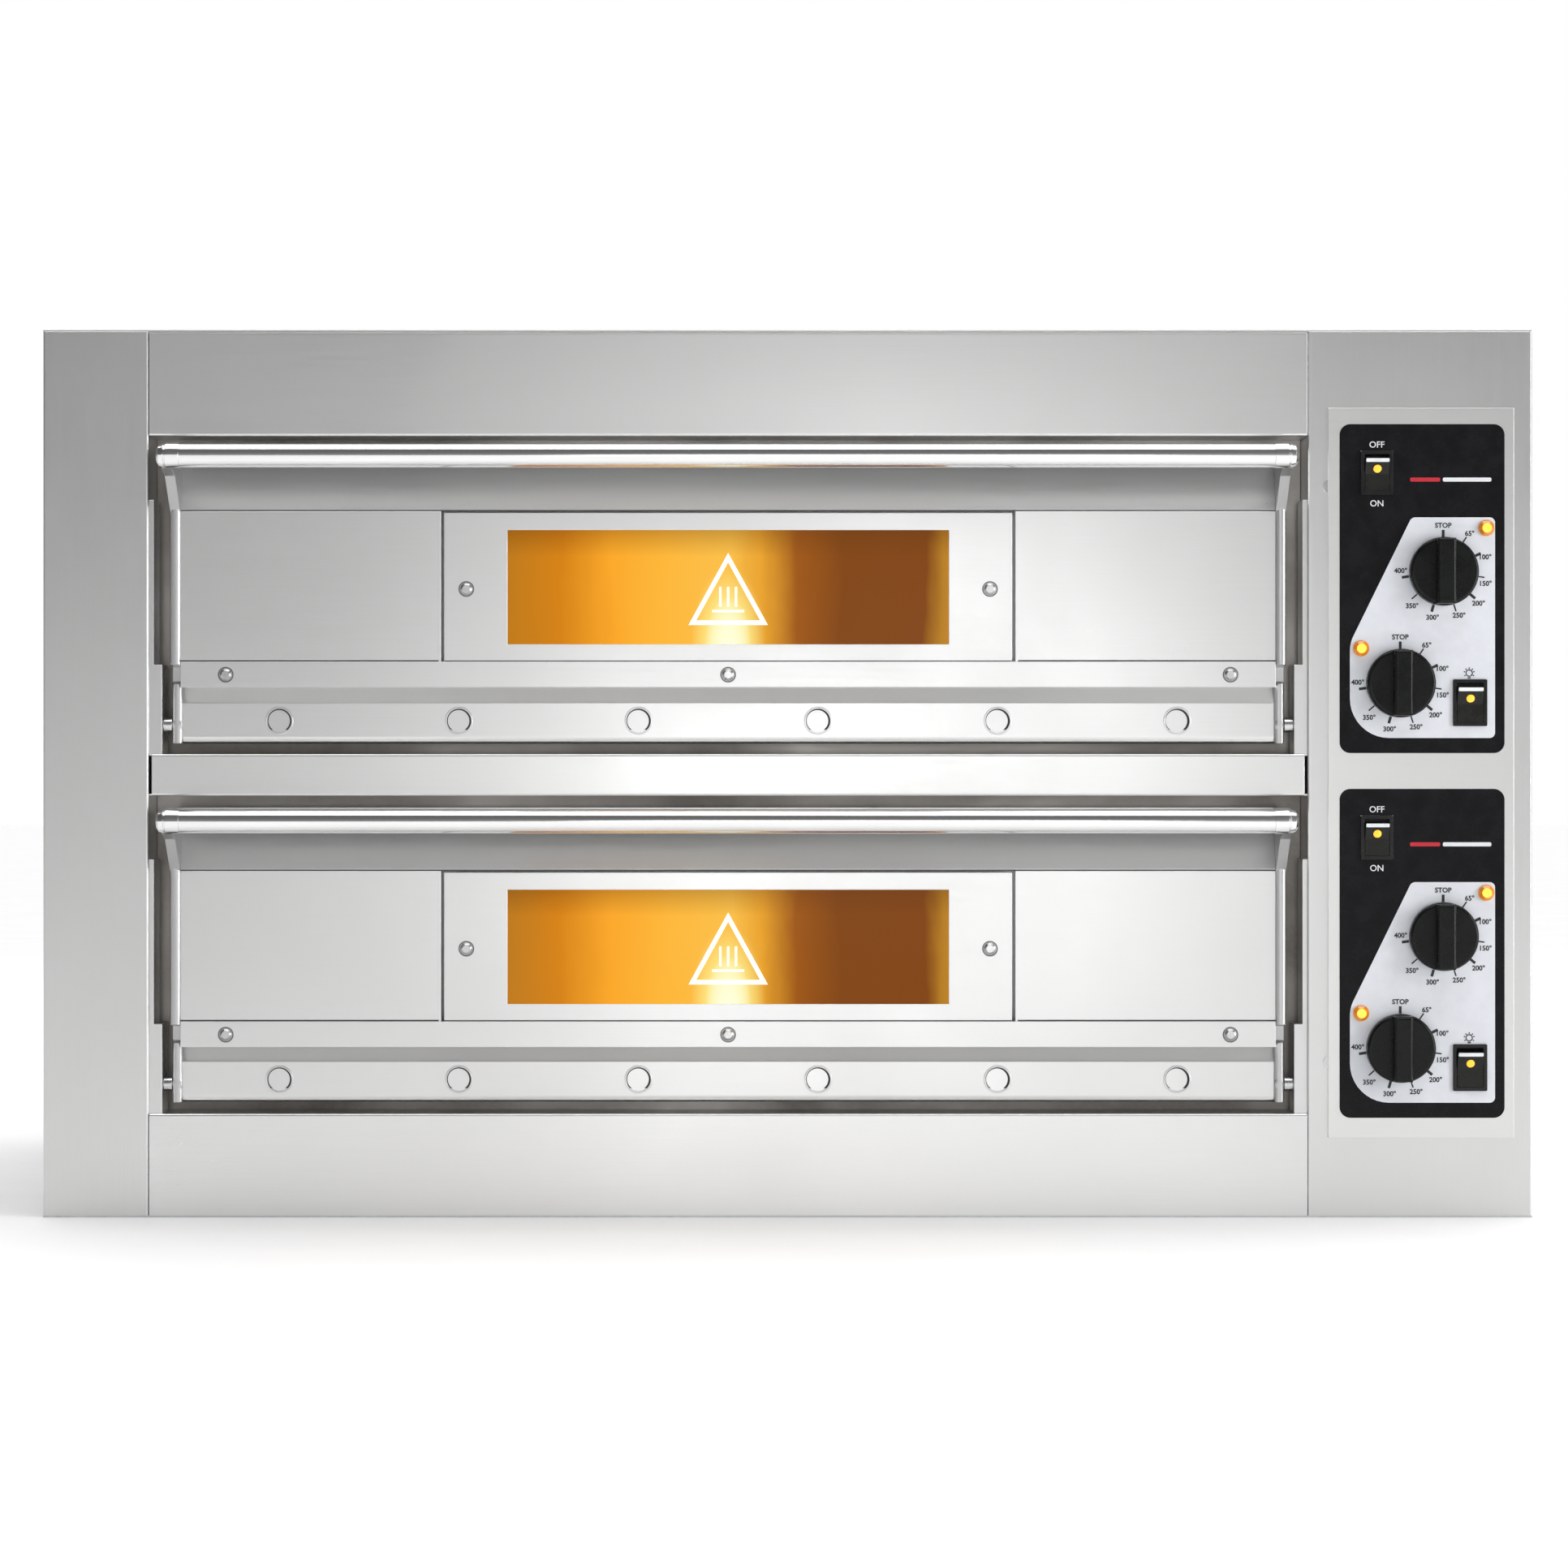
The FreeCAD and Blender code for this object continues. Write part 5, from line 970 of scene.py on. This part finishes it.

# %% [markdown]
# ## Score lines
# The skin is scored where it folds. A thin dark bar laid in each score, and one along the foot of the window
# plate, is painted shade for the shadow there and draws the lines that part the panels.

# %% Score lines
SCORE_TALL, SCORE_SINK, PLATE_CLEAR = 0.0011, 0.0009, 0.0046
FOLD_UP, SEAM_UP, PLATE_FOOT_UP = 0.20435, 0.07815, 0.07795
# Painted shade: dark bars stand in for the shadow in the scores and under the window plate.
score_shade_finish = ink("painted_score_shade", (0.09, 0.09, 0.09), 0.7)
for deck in DECKS:
    skirt_low, skirt_high, floor_z = door_foot(deck)
    plate_low, plate_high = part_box(f"{deck}_window_plate")
    middle = (skirt_low.x + skirt_high.x) / 2
    wide = skirt_high.x - skirt_low.x
    side = plate_low.x - PLATE_CLEAR - skirt_low.x
    lines = []
    for across, length, height, front in (
            (middle, wide, floor_z + FOLD_UP, FRONT_Y + SCORE_SINK),
            (skirt_low.x + side / 2, side, floor_z + SEAM_UP, FRONT_Y + SCORE_SINK),
            (skirt_high.x - side / 2, side, floor_z + SEAM_UP, FRONT_Y + SCORE_SINK),
            (middle, plate_high.x - plate_low.x, floor_z + PLATE_FOOT_UP, plate_low.y)):
        line = bar(length, SCORE_TALL)
        lines.append(stand_on(line, Vector((across, front, height)), FORWARD))
    lines = finish_piece(joined(lines), f"{deck}_score_lines", score_shade_finish, f"{deck}_door")
    print(lines.name, [round(v * 1000, 1) for v in lines.dimensions])

# %% [markdown]
# ## Screw seats
# Each door screw sits in a pressed seat that holds a ring of shadow. A dark ring under every head is painted
# shade for it. One flat ring is enough; the five of a door are copies of the same drawing.

# %% Screw seats
SEAT_RADIUS, SEAT_WIDE = 0.0066, 0.0011
STRIP_SCREW_UP, STRIP_SCREW_IN = 0.0665, 0.038
PLATE_SCREW_UP, PLATE_SCREW_OUT = 0.1385, 0.21985
# Painted shade: a dark steel ring stands in for the shadow in each screw seat.
painted_seat_shade = satin("shadowed_seat", colour=(0.20, 0.20, 0.20), along="x", rough=0.45, grain=0.02)
for deck in DECKS:
    skirt_low, skirt_high, floor_z = door_foot(deck)
    middle = (skirt_low.x + skirt_high.x) / 2
    spots = [(f"{deck}_vented_skirt", x, floor_z + STRIP_SCREW_UP)
             for x in (skirt_low.x + STRIP_SCREW_IN, middle, skirt_high.x - STRIP_SCREW_IN)]
    spots += [(f"{deck}_window_plate", middle + side * PLATE_SCREW_OUT, floor_z + PLATE_SCREW_UP)
              for side in (-1, 1)]
    seats = []
    for node_name, across, height in spots:
        place, normal = front_face(node_name, across + SEAT_RADIUS, height)
        seat = ring(SEAT_RADIUS, SEAT_WIDE, sides=36, thick=0.0002)
        seats.append(stand_on(seat, Vector((across, place.y, height)), FORWARD))
    seats = finish_piece(joined(seats), f"{deck}_screw_seats", painted_seat_shade, f"{deck}_door")
    print(seats.name, len(seats.data.polygons), "faces")

# %% [markdown]
# ## The hot-glass sign
# A white outline fired onto the outer pane tells that it is hot. It is kept plain: a triangle, three short
# strokes and a bar. The triangle is a three-sided circle, inset and hollowed. The enamel carries a faint painted
# glow.

# %% The hot-glass sign
glowing_enamel_ink = ink("fired_white_enamel_painted_glow", (0.85, 0.84, 0.74), 0.3)
# Painted glow: the white enamel gives light of its own, though it is no lamp.
glowing_enamel_ink.put(Emission_Color=(1.0, 0.96, 0.78, 1), Emission_Strength=0.45)
SIGN_WIDE, SIGN_TALL, SIGN_LOW, SIGN_LINE = 0.0668, 0.0606, 0.0163, 0.0021
STROKE_TALL, STROKE_APART, FOOT_WIDE = 0.0170, 0.0066, 0.0270
for deck in DECKS:
    round_out = SIGN_TALL / 1.5
    outline = ring(round_out, SIGN_LINE * 1.9, sides=3)
    outline.data.transform(Matrix.Scale(SIGN_WIDE / (round_out * math.sqrt(3)), 4, (1, 0, 0)))
    parts = [outline, bar(FOOT_WIDE, 0.0022, (0, -0.0085))]
    parts += [bar(SIGN_LINE, STROKE_TALL, (step * STROKE_APART, 0.0035), round_by=0.0007) for step in (-1, 0, 1)]
    sign = joined(parts)
    lowest = min(vertex.co.y for vertex in sign.data.vertices)
    place = window_low[deck] + Vector((PANE_HALF, 0, SIGN_LOW - lowest))
    stand_on(sign, place, FORWARD)
    finish_piece(sign, f"{deck}_hot_glass_sign", glowing_enamel_ink, f"{deck}_door")
    print(sign.name, [round(v * 1000, 1) for v in sign.dimensions])

# %% [markdown]
# ## The floor
# A plain pale sweep with a faint unevenness, so that the oven stands on something without drawing the eye.

# %% The floor
floor_finish = Finish("pale_floor")
dust = floor_finish.noise((6, 6, 6), detail=4.0)
pale = floor_finish.blend(floor_finish.span(dust, 0, 1), (0.93, 0.93, 0.93), (0.9, 0.9, 0.9))
floor_finish.to("Base Color", pale)
floor_finish.to("Roughness", floor_finish.span(dust, 0.75, 0.85))
floor.data.materials.append(floor_finish.material)
